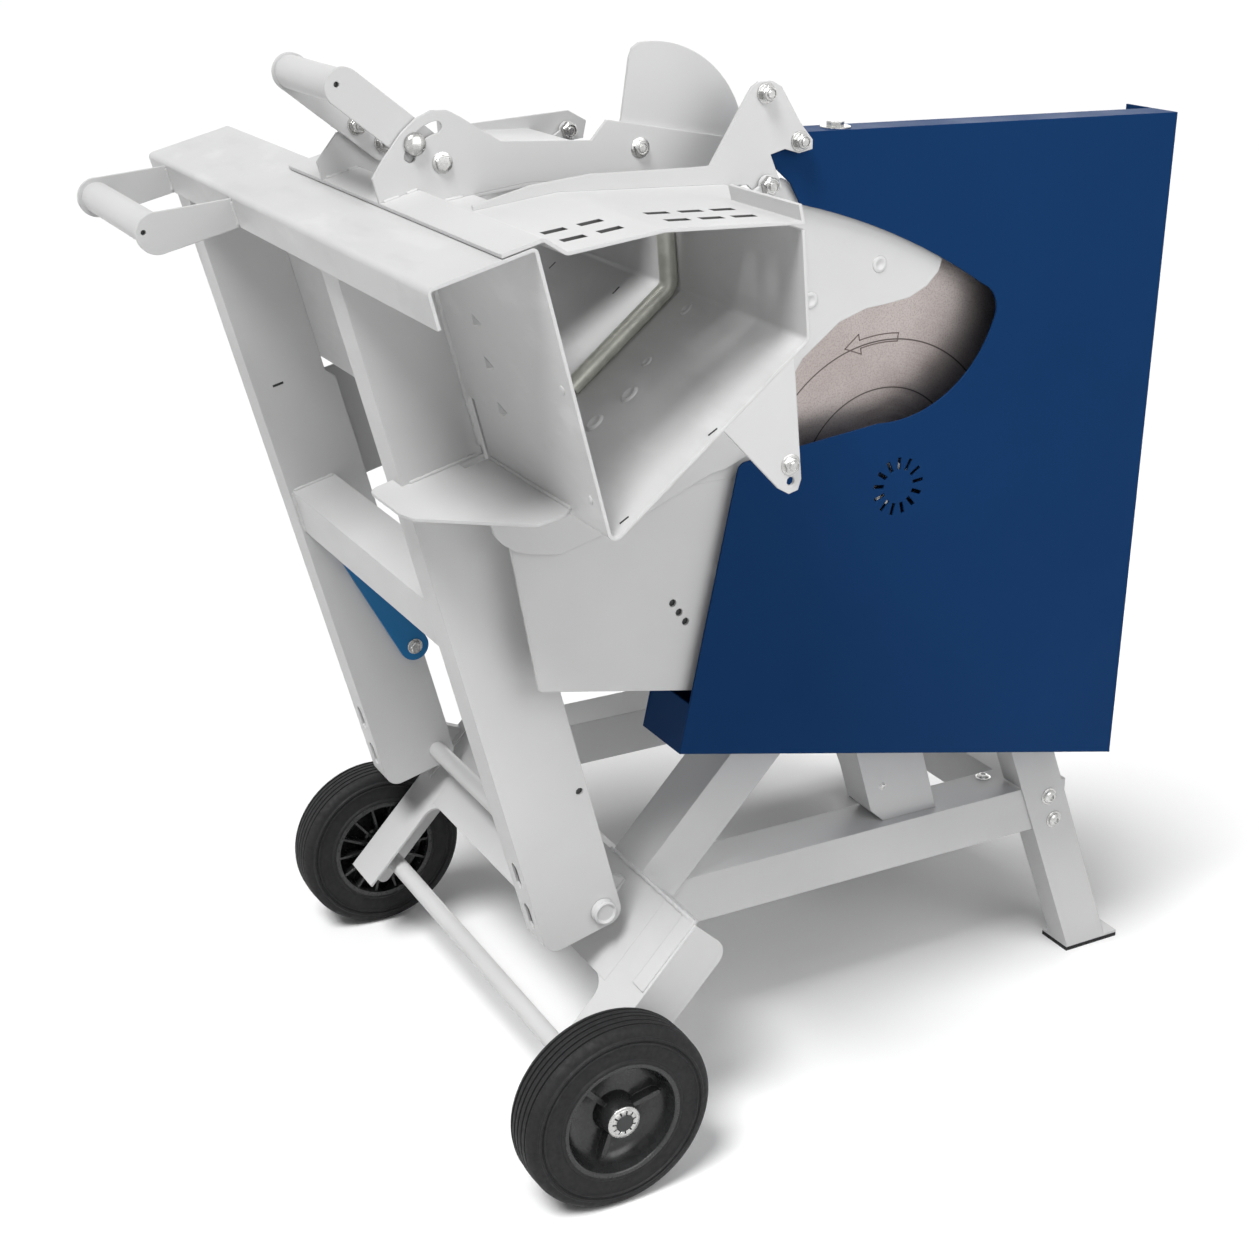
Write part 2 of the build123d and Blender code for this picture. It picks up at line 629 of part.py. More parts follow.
switch_box = box(*SWITCH_X, *SWITCH_Y, *SWITCH_Z)
button_back = switch_face - BUTTON_SINK + BUTTON_TRAVEL + PIN_GAP
for name, height in (("start_button", BUTTON_Z), ("stop_button", -BUTTON_Z)):
    switch_box -= button(height, PIN_GAP, switch_face - BUTTON_SINK, switch_face + CUT)
    keep(name, button(height, 0, button_back, switch_face + BUTTON_PROUD), BLADE)
keep("switch_box", switch_box, BLADE)


def power_inlet():
    """Recessed socket under the switch box with three flat pins."""
    inside = INLET_HALF - WALL
    body = box(-INLET_HALF, INLET_HALF, -INLET_HALF, INLET_HALF, 0, INLET_LENGTH)
    body -= box(-inside, inside, -inside, inside, -CUT, INLET_DEPTH)
    for turn in (0, 120, 240):
        pin = Pos(INLET_PIN_R, 0, INLET_LENGTH - WALL - INLET_PIN[2] / 2) * Box(*INLET_PIN)
        body += Rot(0, 0, turn) * pin
    return body


keep("power_inlet", power_inlet(), BLADE * Pos(switch_middle, sum(SWITCH_Y) / 2, SWITCH_Z[0] - INLET_LENGTH))


# Guard round the blade

def front_cover():
    corners = [COVER_TOP_LEFT, COVER_TOP_RIGHT, COVER_LOW_RIGHT, COVER_LOW_LEFT, COVER_LEFT_TOP]
    top_left, top_right, low_right, low_left, left_top = from_blade(corners)
    bite_low, bite_mid, bite_end, bite_tip = from_blade(FRONT_BITE)
    step_low, step_high = from_blade(COVER_STEP)
    arc_right, arc_middle, arc_left = [swept(FRONT_BITE_R, angle) for angle in FRONT_BITE_TURN]
    outline = Polyline(step_high, top_left, top_right, low_right, low_left, left_top, bite_low).edges()
    outline += ThreePointArc(bite_low, bite_mid, bite_end).edges()
    outline += ThreePointArc(bite_end, bite_tip, arc_right).edges()
    outline += ThreePointArc(arc_right, arc_middle, arc_left).edges()
    outline += Polyline(arc_left, step_low, step_high).edges()
    back, front = GUARD_X
    face = drawn(outline, front - GUARD_SHEET, front)
    left_edge = [edge for edge in face.edges().filter_by(Axis.X)
                 if math.dist((edge.center().Y, edge.center().Z), left_top) < CUT]
    cover = fillet(left_edge, COVER_ROUND)
    cover += strip(top_left, top_right, GUARD_SHEET, TOP_FLANGE_X, front)
    cover += strip(top_right, low_right, GUARD_SHEET, back, front)
    cover += strip(low_right, low_left, GUARD_SHEET, back, front)
    cover += strip(low_left, from_blade([COVER_TAB_TOP])[0], GUARD_SHEET, back, front)
    slot = box(front - GUARD_SHEET - CUT, front + CUT, -VENT_HALF, VENT_HALF, *VENT_R)
    return cover - [BLADE * piece for piece in around(VENT_SLOTS, slot)]


def back_sheet():
    """Sheet behind the blade, open above its bite so that the rocker and lid swing past."""
    top_right = (COVER_TOP_RIGHT[0], COVER_TOP_RIGHT[1] - BACK_TOP_DROP)
    corners = [top_right, COVER_LOW_RIGHT, COVER_LOW_LEFT, COVER_LEFT_TOP]
    notch = from_blade(corners) + from_blade(BACK_BITE)
    notch.append((notch[-1][0], notch[0][1]))
    sheet_x = (GUARD_X[0] - BACK_SHEET, GUARD_X[0])
    return plate(notch, *sheet_x) - BLADE * bore(0, 0, FLANGE_R, *sheet_x)


keep("guard_front_cover", front_cover())
keep("guard_back_sheet", back_sheet())
spacers = []
for height in LEG_SPACER_Z:
    middle = leg_point(height, LEG_WIDTH / 2)
    length = GUARD_X[0] - BACK_SHEET - near_leg_x - WALL
    spacers.append(bolt(*middle, near_leg_x + WALL, 1, length))
for middle in from_blade(PANEL_SPACERS):
    spacers.append(bolt(*middle, PANEL_X[1], 1, GUARD_X[1] - GUARD_SHEET - PANEL_X[1]))
keep_group("guard_spacers", spacers)
panel_holes = [punched(y, z, SMALL_HOLE_R, *PANEL_X) for y, z in PANEL_HOLES]
keep("left_blade_panel", plate(PANEL_LINE, *PANEL_X) - panel_holes, BLADE)
top_fall = (COVER_TOP_RIGHT[1] - COVER_TOP_LEFT[1]) / (COVER_TOP_RIGHT[0] - COVER_TOP_LEFT[0])
top_seat = COVER_TOP_LEFT[1] + top_fall * (TOP_BOLT_Y - COVER_TOP_LEFT[0])
top_bolt = Rot(math.degrees(math.atan(top_fall)), 0, 0) * extrude(RegularPolygon(HEX_R, 6), amount=HEX_HEAD)
frame_bolts.append(BLADE * Pos(GUARD_X[1] - TOP_BOLT_INSET, TOP_BOLT_Y, top_seat) * top_bolt)
keep_group("frame_bolts", frame_bolts)


# Rocker frame

def rocker_leg(x0, x1):
    """Channel open towards the blade with a pivot bush, its upper part cut back to the trough wall."""
    seat = INNER_WALL_Y - WALL
    top = RIM_Z - WALL
    low = VALLEY_Z - LEG_STEP[0]
    side = [(LEG_BACK, LEG_LOW), (LEG_FRONT, LEG_LOW), (LEG_FRONT, low), (seat, low + LEG_STEP[1])]
    side += [(seat, top - BEND), (seat - BEND, top), (LEG_BACK, top)]
    leg = plate(side, x0, x1)
    leg = fillet(leg.edges().filter_by(Axis.X).group_by(Axis.Z)[0], LEG_ROUND)
    room_x = (x0 + ROCKER_SHEET, x1 - ROCKER_SHEET)
    leg -= box(*room_x, LEG_BACK + ROCKER_SHEET, LEG_FRONT + CUT, LEG_LOW - CUT, top + CUT)
    leg += rod(0, 0, BUSH_R, *room_x)
    for height in LEG_HOLE_Z:
        oval = chamfer(Rectangle(*LEG_HOLE).vertices(), LEG_HOLE_CORNER)
        oval = extrude(oval, amount=ROCKER_SHEET + CUT, both=True)
        leg -= Pos((x0 + x1) / 2, LEG_BACK, height) * Rot(90, 0, 0) * oval
    return leg - bore(0, 0, PIVOT_R + RUN, x0, x1)


lever_wall = (FAR_LEG_X[1] - ROCKER_SHEET, FAR_LEG_X[1])
far_flange_x = (FAR_LEG_X[0], FAR_LEG_X[0] + ROCKER_SHEET)
far_leg = rocker_leg(*FAR_LEG_X) + box(*far_flange_x, LEG_FRONT - CUT, FAR_FLANGE_Y, *FAR_FLANGE_Z)
near_wall = (LEG_X[1] - ROCKER_SHEET, LEG_X[1])
keep("near_rocker_leg", rocker_leg(*LEG_X) - punched(*LEVER_PIVOT, SMALL_HOLE_R, *near_wall), ROCKER)
keep("far_rocker_leg", far_leg - bore(*LEVER_PIVOT, HINGE_R, *lever_wall), ROCKER)
keep("rocker_mid_beam", square_tube((FAR_LEG_X[1], LEG_X[0]), MID_BEAM_Y, MID_BEAM_Z, "x"), ROCKER)

valley = (INNER_WALL_Y, VALLEY_Z)
trough_line = [(RIM_BACK, RIM_Z - RIM_DROP), (RIM_BACK, RIM_Z), (INNER_WALL_Y, RIM_Z), valley]
trough_line += [FLOOR_EDGE, OUTER_WALL_TOP]
outer_wall_end = OUTER_WALL_TOP[0] + BEND


def trough():
    """Folded sheet with the blade's slot and a lowered outer wall beside it."""
    sheet = folded(trough_line, WALL, *TROUGH_X)
    low = VALLEY_Z - BLADE_SLOT_FLOOR
    sheet -= box(*BLADE_SLOT, INNER_WALL_Y - 2 * WALL, outer_wall_end, low, VALLEY_Z + BLADE_SLOT_WALL)
    sheet -= box(*BLADE_SLOT, INNER_WALL_Y + BLADE_SLOT_FLOOR, outer_wall_end, low, RIM_Z)
    low_x = (BLADE_SLOT[1] - CUT, LID_SLOT_X[1])
    return sheet - box(*low_x, FLOOR_EDGE[0], outer_wall_end, OUTER_WALL_LOW, RIM_Z)


trough_sheet = trough()
keep("trough", trough_sheet, ROCKER)
gusset_z = VALLEY_Z + GUSSET_RISE


def gusset():
    """Flat sheet under the trough's rim side, beside the near leg, drawn in X and Y."""
    start = GUSSET_LINE[0][0]
    line = FilletPolyline(*GUSSET_LINE, (start, INNER_WALL_Y - WALL), radius=GUSSET_ROUND, close=True)
    sheet = Pos(0, 0, gusset_z) * extrude(make_face(line), amount=WALL)
    depth = (gusset_z - CUT, gusset_z + WALL + CUT)
    sheet -= box(start - CUT, LEG_X[1], LEG_BACK, INNER_WALL_Y, *depth)
    return sheet - box(*BLADE_SLOT, -INNER_WALL_Y, INNER_WALL_Y, *depth)


keep("trough_gusset", gusset(), ROCKER)
end_x = (TROUGH_X[1] - WALL, TROUGH_X[1])
end_bracket = plate(END_BRACKET_LINE, *end_x) - punched(*END_HOLE, SMALL_HOLE_R, *end_x)
keep("trough_end_bracket", end_bracket - trough_sheet, ROCKER)


def log_rod():
    """Round bar bent to the trough floor beside the blade slot."""
    line = [between(valley, FLOOR_EDGE, LOG_ROD_FOOT), FLOOR_EDGE]
    line.append(between(FLOOR_EDGE, OUTER_WALL_TOP, LOG_ROD_TOP))
    path = FilletPolyline(*beside(line, LOG_ROD_R + PIN_GAP), radius=LOG_ROD_BEND)
    path = Pos(LOG_ROD_X, 0, 0) * (Plane.YZ * path)
    start = Plane(origin=path @ 0, z_dir=path % 0)
    return sweep(start * Circle(LOG_ROD_R), path=path)


def blade_shield():
    """Sheet beside the blade slot that hangs round the trough's outside."""
    core = beside(trough_line, -WALL / 2)
    wall_share = (OUTER_WALL_LOW - WALL - core[4][1]) / (core[5][1] - core[4][1])
    outline = [(core[3][0], gusset_z), core[3], core[4], between(core[4], core[5], wall_share)]
    outline += SHIELD_RIGHT + SHIELD_LOW + SHIELD_LEFT + [(SHIELD_LEFT[-1][0], gusset_z)]
    return plate(outline, *SHIELD_X) - trough_sheet


keep("log_rod", log_rod(), ROCKER)
keep("blade_shield", blade_shield(), ROCKER)

near_web_x = (LID_SLOT_X[1], LID_SLOT_X[1] + WALL)
end_web_x = (LID_X[0] - WALL, LID_X[0])


def hinge_bracket(web_x):
    """Arm on the trough's outer wall with the lid's hinge pin, its head and its nut."""
    x0 = web_x[1] + BRACKET_GAP
    x1 = x0 + FLAT_BAR
    head = web_x[0] - PIN_GAP
    arm = plate(HINGE_BRACKET_LINE, x0, x1) + rod(*LID_HINGE, HINGE_EYE_R, x0, x1)
    arm += rod(*LID_HINGE, HINGE_R, head, x0)
    arm += bolt(*LID_HINGE, head, -1, HEX_LOW)
    return arm + bolt(*LID_HINGE, x1, 1) - trough_sheet


keep_group("lid_hinge_brackets", [hinge_bracket(near_web_x), hinge_bracket(end_web_x)], ROCKER)


# Push handle on the trough rim

def push_arm(x0, x1):
    """Flat arm from the rim's front fold to the tube, round at the tube."""
    y, z = PUSH_TUBE
    line = [(y, z + PUSH_ARM_R), (RIM_BACK, RIM_Z - BEND), (RIM_BACK, RIM_Z - RIM_DROP), (y, z - PUSH_ARM_R)]
    return plate(line, x0, x1) + rod(y, z, PUSH_ARM_R, x0, x1) - punched(*PUSH_HOLE, TUBE_HOLE_R, x0, x1)


push_inner = (PUSH_X[0] + FLAT_BAR, PUSH_X[1] - FLAT_BAR)
push_arms = [push_arm(PUSH_X[0], push_inner[0]), push_arm(push_inner[1], PUSH_X[1])]
keep_group("push_handle_arms", push_arms, ROCKER)
keep("push_handle_tube", rod(*PUSH_TUBE, PUSH_TUBE_R, *push_inner), ROCKER)


# Lock lever on the far leg

lever_x = (FAR_LEG_X[1] + SIDE_GAP, FAR_LEG_X[1] + SIDE_GAP + FLAT_BAR)
lever = link(LEVER_PIVOT, LEVER_TIP, LEVER_END_R, *lever_x)
keep("lock_lever", lever - bore(*LEVER_PIVOT, HINGE_R + RUN, *lever_x), ROCKER)
lever_head = lever_x[1] + SIDE_GAP
lever_bolt = rod(*LEVER_PIVOT, HINGE_R, lever_wall[0], lever_head) + bolt(*LEVER_PIVOT, lever_head, 1)
keep_group("rocker_bolts", [bolt(*END_BOLT, TROUGH_X[1], 1), lever_bolt], ROCKER)


# Lid and its handle

def lid_surface(y):
    """Height of the lid's upper face on its slope down to the hinge."""
    fall = (LID_LOW[1] - LID_BEND[1]) / (LID_LOW[0] - LID_BEND[0])
    return LID_BEND[1] + fall * (y - LID_BEND[0])


lid_top = RIM_Z + LID_RISE
lid_line = [(LID_EDGE_Y, lid_top), (LID_STEP[0], lid_top), (LID_STEP[1], LID_STEP[2]), LID_BEND]
lid_line.append((LID_END_Y, lid_surface(LID_END_Y)))
lid_low = LID_LOW[1] - RIM_DROP


def lid_plate():
    """Folded sheet with a tail to the far hinge, the blade's slot, rows of holes and an upright lip."""
    sheet = folded(lid_line, WALL, *LID_X)
    sheet -= box(LID_X[0] - CUT, LID_FRONT_X, LID_EDGE_Y - CUT, LID_TAIL_Y, lid_low, lid_top + CUT)
    sheet -= box(*LID_SLOT_X, LID_SLOT_Y, LID_END_Y + CUT, lid_low, lid_top)
    sheet -= box(LID_LIP_X, LID_X[1] + CUT, LID_LIP_Y, LID_END_Y + CUT, lid_low, lid_top)
    lip_low = lid_surface(LID_LIP_Y) - CUT
    sheet += box(LID_LIP_X, LID_X[1], LID_LIP_Y - WALL, LID_LIP_Y, lip_low, LID_LIP_TOP)
    half_x, half_y = LID_HOLE[0] / 2, LID_HOLE[1] / 2
    for inset in LID_HOLES_X:
        x = LID_X[1] - inset
        for y in LID_HOLES_Y:
            sheet -= box(x - half_x, x + half_x, y - half_y, y + half_y, lid_low, lid_top)
    return sheet


lid_solid = lid_plate()
lid_core = beside(lid_line, -WALL / 2)
core_end = (LID_WEB_END_Y, lid_surface(LID_WEB_END_Y) - WALL / 2)


def lid_web(points, x0, x1):
    """Upright sheet welded on the lid, with the hinge hole where it reaches the hinge."""
    return plate(points, x0, x1) - lid_solid - bore(*LID_HINGE, HINGE_R + RUN, x0, x1)


far_web_x = (LID_SLOT_X[0] - WALL, LID_SLOT_X[0])


def stud_slot():
    """Curved slot in the far web that the handle's stud runs along."""
    reach = math.dist(LID_HANDLE_PIVOT, STUD)
    rest = math.degrees(math.atan2(STUD[1] - LID_HANDLE_PIVOT[1], STUD[0] - LID_HANDLE_PIVOT[0]))
    sweep_angle = HANDLE_RANGE[1] - HANDLE_RANGE[0] + 2 * HANDLE_SPARE
    arc = CenterArc((0, 0), reach, rest + HANDLE_RANGE[0] - HANDLE_SPARE, sweep_angle)
    face = Plane.YZ * make_face(offset(arc, amount=STUD_R + STUD_ROOM, closed=True).edges())
    return Pos(far_web_x[0] - CUT, *LID_HANDLE_PIVOT) * extrude(face, amount=WALL + 2 * CUT, dir=(1, 0, 0))


keep("lid_plate", lid_solid, ROCKER)
keep("lid_near_web", lid_web(NEAR_WEB_LINE + [core_end, lid_core[3]], *near_web_x), ROCKER)
far_web = lid_web(FAR_WEB_LINE + [core_end] + lid_core[3::-1], *far_web_x)
keep("lid_far_web", far_web - stud_slot() - bore(*LID_HANDLE_PIVOT, HINGE_R, *far_web_x), ROCKER)
fin_outline = Polyline(*FIN_LINE).edges() + ThreePointArc(FIN_LINE[-1], FIN_MIDDLE, FIN_LINE[0]).edges()
keep("lid_fin", drawn(fin_outline, far_web_x[0] - WALL, far_web_x[0]), ROCKER)
keep("lid_end_web", lid_web(END_WEB_LINE, *end_web_x), ROCKER)
ear = plate(EAR_LINE + lid_core[2::-1], *EAR_X) - lid_solid
keep("lid_handle_ear", ear - bore(*LID_HANDLE_PIVOT, HINGE_R, *EAR_X), ROCKER)

near_arm_x = (far_web_x[0] - ARM_GAP - FLAT_BAR, far_web_x[0] - ARM_GAP)
far_arm_x = (EAR_X[1] + ARM_GAP, EAR_X[1] + ARM_GAP + FLAT_BAR)
handle_arms = []
for span in (near_arm_x, far_arm_x):
    arm = link(LID_HANDLE_PIVOT, LID_TUBE, HANDLE_END_R, *span)
    arm -= punched(*HANDLE_HOLE, TUBE_HOLE_R, *span)
    handle_arms.append(arm - bore(*LID_HANDLE_PIVOT, HINGE_R + RUN, *span))
keep_group("lid_handle_arms", handle_arms, ROCKER)
keep("lid_handle_tube", rod(*LID_TUBE, LID_TUBE_R, far_arm_x[1], near_arm_x[0]), ROCKER)
stud_head = far_web_x[1] + SIDE_GAP
keep("handle_stud", rod(*STUD, STUD_R, near_arm_x[1], stud_head) + bolt(*STUD, stud_head, 1), ROCKER)


def handle_pin(web_face, arm_face, side):
    """Pin held in a lid web, with a low head on the web and a nut outside the handle's arm."""
    nut = arm_face - side * SIDE_GAP
    pin = rod(*LID_HANDLE_PIVOT, HINGE_R, min(web_face, nut), max(web_face, nut))
    return pin + bolt(*LID_HANDLE_PIVOT, web_face, side, HEX_LOW) + bolt(*LID_HANDLE_PIVOT, nut, -side)


lid_bolts = [bolt(*point, near_web_x[1], 1) for point in NEAR_WEB_BOLTS]
lid_bolts.append(bolt(*FIN_BOLT, far_web_x[1], 1, HEX_LOW))
lid_bolts += [handle_pin(far_web_x[1], near_arm_x[0], 1), handle_pin(EAR_X[0], far_arm_x[1], -1)]
keep_group("lid_bolts", lid_bolts, ROCKER)


# Put the origin under the middle of the whole machine and write the pieces

whole = Compound(children=[Compound(piece.solids()) for piece in pieces.values()]).bounding_box()
centre = whole.center()
shift = Pos(-centre.X, -centre.Y, -whole.min.Z)
for name, piece in pieces.items():
    solids = (shift * piece).solids()
    export_step(solids[0] if len(solids) == 1 else Compound(children=solids), f"parts/{name}.step")
rocker_frame = shift * ROCKER
joints = {"wheels": shift * AXLE, "blade": shift * BLADE, "rocker": rocker_frame}
joints["lid"] = rocker_frame * Pos(0, *LID_HINGE)
joints["lid handle"] = rocker_frame * Pos(0, *LID_HANDLE_PIVOT)
joints["lock lever"] = rocker_frame * Pos(0, *LEVER_PIVOT)
print("size", whole.size)
for name, place in joints.items():
    print(name, tuple(round(value, 3) for value in place.position))
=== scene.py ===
import json
import math
import random
from contextlib import contextmanager

import bmesh
import bpy
from mathutils import Matrix, Vector


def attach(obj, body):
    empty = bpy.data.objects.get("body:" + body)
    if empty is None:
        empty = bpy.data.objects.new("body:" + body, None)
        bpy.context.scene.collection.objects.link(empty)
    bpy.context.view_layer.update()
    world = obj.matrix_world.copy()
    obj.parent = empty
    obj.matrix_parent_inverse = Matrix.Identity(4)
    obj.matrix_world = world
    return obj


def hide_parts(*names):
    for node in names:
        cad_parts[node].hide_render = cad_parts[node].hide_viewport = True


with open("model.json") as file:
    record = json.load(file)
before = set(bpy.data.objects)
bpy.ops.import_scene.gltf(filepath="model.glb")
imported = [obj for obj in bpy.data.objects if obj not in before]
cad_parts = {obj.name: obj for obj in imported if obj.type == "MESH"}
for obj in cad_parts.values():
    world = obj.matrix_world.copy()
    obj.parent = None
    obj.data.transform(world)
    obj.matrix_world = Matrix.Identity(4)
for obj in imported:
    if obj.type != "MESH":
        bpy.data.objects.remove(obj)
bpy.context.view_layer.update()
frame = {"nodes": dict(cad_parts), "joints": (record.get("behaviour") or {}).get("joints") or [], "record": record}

# The imported model is the saw itself. This script gives its nodes their paint, metal, rubber and
# plastic, and adds the small things that the frame leaves plain: fasteners, wheel mouldings, weld
# beads, dents, dark slits and hole insides of painted shade, and a printed arrow. Lengths are in
# millimetres, and MM turns one into metres. Near is +X, the side of the guard, far is -X, and the
# front is -Y.

MM = 0.001
JOINTS = {joint["name"]: joint for joint in frame["joints"]}


def joint_at(name):
    return Vector(JOINTS[name]["pos_m"])


# Frames: the machine (axle at Y 0, floor at Z 0), its sloping lower frame (from the axle), the
# leaning rocker (from its pivot) and the blade (from its axis)

PIVOT = joint_at("rocker_swing")
AXLE = joint_at("near_wheel_spin")
BLADE_AXIS = joint_at("blade_spin")
WHEEL_R = 100
AXLE_Z = WHEEL_R
ARM_SLOPE = math.radians(47)
ROCKER_LEAN = math.radians(14.5)
MACHINE = Matrix.Translation((PIVOT.x, AXLE.y, 0)) @ Matrix.Scale(MM, 4)
SLOPE = MACHINE @ Matrix.Translation((0, 0, AXLE_Z)) @ Matrix.Rotation(ARM_SLOPE, 4, "X")
ROCKER = Matrix.Translation(PIVOT) @ Matrix.Rotation(ROCKER_LEAN, 4, "X") @ Matrix.Scale(MM, 4)
BLADE = Matrix.Translation((PIVOT.x, BLADE_AXIS.y, BLADE_AXIS.z)) @ Matrix.Scale(MM, 4)


def joint_in(place, name):
    """Y and Z of a joint in one of these frames."""
    return (place.inverted() @ joint_at(name)).yz


# Materials

MIX_FIRST, MIX_SECOND, MIX_RESULT = 6, 7, 2  # a Mix node's sockets for colours
USUAL = (0.3, 0.7)  # most of a noise lies between these
EDGE_DOT = (0.98, 0.8)  # the rounded normal on the flat one, from flat ground to an edge


class Shader:
    """A new material with short ways to add nodes to it."""

    def __init__(self, name):
        self.material = bpy.data.materials.new(name)
        self.material.use_nodes = True
        self.tree = self.material.node_tree
        self.surface = self.tree.nodes["Principled BSDF"]
        self.place = self.node("ShaderNodeTexCoord").outputs["Object"]

    def node(self, kind, **settings):
        made = self.tree.nodes.new(kind)
        for name, value in settings.items():
            setattr(made, name, value)
        return made

    def join(self, output, socket):
        self.tree.links.new(output, socket)

    def noise(self, scale, detail=2.0, place=None, roughness=0.5):
        made = self.node("ShaderNodeTexNoise")
        made.inputs["Scale"].default_value = scale
        made.inputs["Detail"].default_value = detail
        made.inputs["Roughness"].default_value = roughness
        self.join(place or self.place, made.inputs["Vector"])
        return made.outputs["Fac"]

    def span(self, value, low, high, to_low=0.0, to_high=1.0):
        made = self.node("ShaderNodeMapRange")
        self.join(value, made.inputs["Value"])
        limits = {"From Min": low, "From Max": high, "To Min": to_low, "To Max": to_high}
        for name, number in limits.items():
            made.inputs[name].default_value = number
        return made.outputs["Result"]

    def spread(self, noise, to_low=0.0, to_high=1.0):
        return self.span(noise, *USUAL, to_low, to_high)

    def maths(self, operation, first, second=None):
        made = self.node("ShaderNodeMath", operation=operation)
        for socket, value in zip(made.inputs, (first, second)):
            if isinstance(value, (int, float)):
                socket.default_value = value
            elif value is not None:
                self.join(value, socket)
        return made.outputs["Value"]

    def mix(self, factor, first, second):
        made = self.node("ShaderNodeMix", data_type="RGBA")
        self.join(factor, made.inputs["Factor"])
        for number, value in ((MIX_FIRST, first), (MIX_SECOND, second)):
            if isinstance(value, tuple):
                made.inputs[number].default_value = (*value, 1)
            else:
                self.join(value, made.inputs[number])
        return made.outputs[MIX_RESULT]

    def colour(self, value):
        self.join(value, self.surface.inputs["Base Color"])

    def rough(self, value):
        self.join(value, self.surface.inputs["Roughness"])

    def edges(self, radius):
        """1 along sharp edges, 0 on flat ground, and the rounded normal that shows it."""
        bevel = self.node("ShaderNodeBevel", samples=4)
        bevel.inputs["Radius"].default_value = radius
        flat = self.node("ShaderNodeNewGeometry").outputs["Normal"]
        dot = self.node("ShaderNodeVectorMath", operation="DOT_PRODUCT")
        self.join(bevel.outputs["Normal"], dot.inputs[0])
        self.join(flat, dot.inputs[1])
        return self.span(dot.outputs["Value"], *EDGE_DOT), bevel.outputs["Normal"]

    def bump(self, height, strength, distance, normal=None):
        made = self.node("ShaderNodeBump")
        made.inputs["Strength"].default_value = strength
        made.inputs["Distance"].default_value = distance
        self.join(height, made.inputs["Height"])
        if normal:
            self.join(normal, made.inputs["Normal"])
        self.join(made.outputs["Normal"], self.surface.inputs["Normal"])

    def around(self, centre):
        """Distance from an axis along X and the angle round it."""
        shifted = self.node("ShaderNodeVectorMath", operation="SUBTRACT")
        self.join(self.place, shifted.inputs[0])
        shifted.inputs[1].default_value = centre
        parts = self.node("ShaderNodeSeparateXYZ")
        self.join(shifted.outputs["Vector"], parts.inputs["Vector"])
        y, z = parts.outputs["Y"], parts.outputs["Z"]
        square = self.maths("ADD", self.maths("MULTIPLY", y, y), self.maths("MULTIPLY", z, z))
        return self.maths("SQRT", square), self.maths("ARCTAN2", z, y)


def shade(colour, factor):
    return tuple(min(1.0, channel * factor) for channel in colour)


def smudges(made, base, colour):
    """Long paler and darker streaks, as logs leave them."""
    stretch = made.node("ShaderNodeMapping")
    stretch.inputs["Scale"].default_value = (12.0, 30.0, 30.0)
    stretch.inputs["Rotation"].default_value = (0.3, 0.5, 0.2)
    made.join(made.place, stretch.inputs["Vector"])
    streak = made.noise(1.0, detail=4.0, place=stretch.outputs["Vector"])
    base = made.mix(made.span(streak, 0.56, 0.68, to_high=0.8), base, shade(colour, 1.08))
    return made.mix(made.span(streak, 0.42, 0.3, to_high=0.8), base, shade(colour, 0.93))


def paint(name, colour, roughness, gloss=0.3, smudged=False):
    """Powder coat: fine orange peel, faint clouding, and edges lighter from wear and painted highlight."""
    made = Shader(name)
    cloud = made.spread(made.noise(7.0, detail=3.0))
    base = made.mix(cloud, shade(colour, 0.965), shade(colour, 1.02))
    if smudged:
        base = smudges(made, base, colour)
    edge, normal = made.edges(1.2 * MM)
    wear_and_highlight = made.span(made.noise(60.0, detail=3.0), 0.3, 0.75, to_low=0.3, to_high=0.8)
    # Lighter along the edges, patchy by the noise: part wear, part a painted highlight.
    made.colour(made.mix(made.maths("MULTIPLY", edge, wear_and_highlight), base, shade(colour, 1.16)))
    made.rough(made.spread(made.noise(18.0, detail=4.0), roughness - 0.05, roughness + 0.07))
    made.bump(made.noise(1100.0), strength=0.12, distance=0.25 * MM, normal=normal)
    made.surface.inputs["Specular IOR Level"].default_value = gloss
    return made.material


def steel(name, colour, roughness, metallic=1.0):
    """Zinc-plated metal with fine scratches and a little staining."""
    made = Shader(name)
    stain = made.span(made.noise(90.0, detail=4.0), 0.35, 0.7)
    edge, normal = made.edges(0.6 * MM)
    base = made.mix(stain, colour, shade(colour, 0.78))
    # Lighter along every edge: a painted highlight.
    made.colour(made.mix(edge, base, shade(colour, 1.2)))
    made.rough(made.spread(made.noise(400.0, detail=3.0), roughness - 0.08, roughness + 0.1))
    made.bump(made.noise(2500.0), strength=0.08, distance=0.1 * MM, normal=normal)
    made.surface.inputs["Metallic"].default_value = metallic
    return made.material


def plastic(name, colour, roughness):
    """Moulded plastic with a fine grain."""
    made = Shader(name)
    cloud = made.spread(made.noise(25.0, detail=3.0))
    edge, normal = made.edges(0.8 * MM)
    base = made.mix(cloud, shade(colour, 0.85), shade(colour, 1.15))
    # Lighter along every edge: a painted highlight.
    made.colour(made.mix(made.maths("MULTIPLY", edge, 0.35), base, shade(colour, 2.2)))
    made.rough(made.spread(made.noise(120.0, detail=3.0), roughness - 0.05, roughness + 0.08))
    made.bump(made.noise(1600.0), strength=0.15, distance=0.2 * MM, normal=normal)
    return made.material


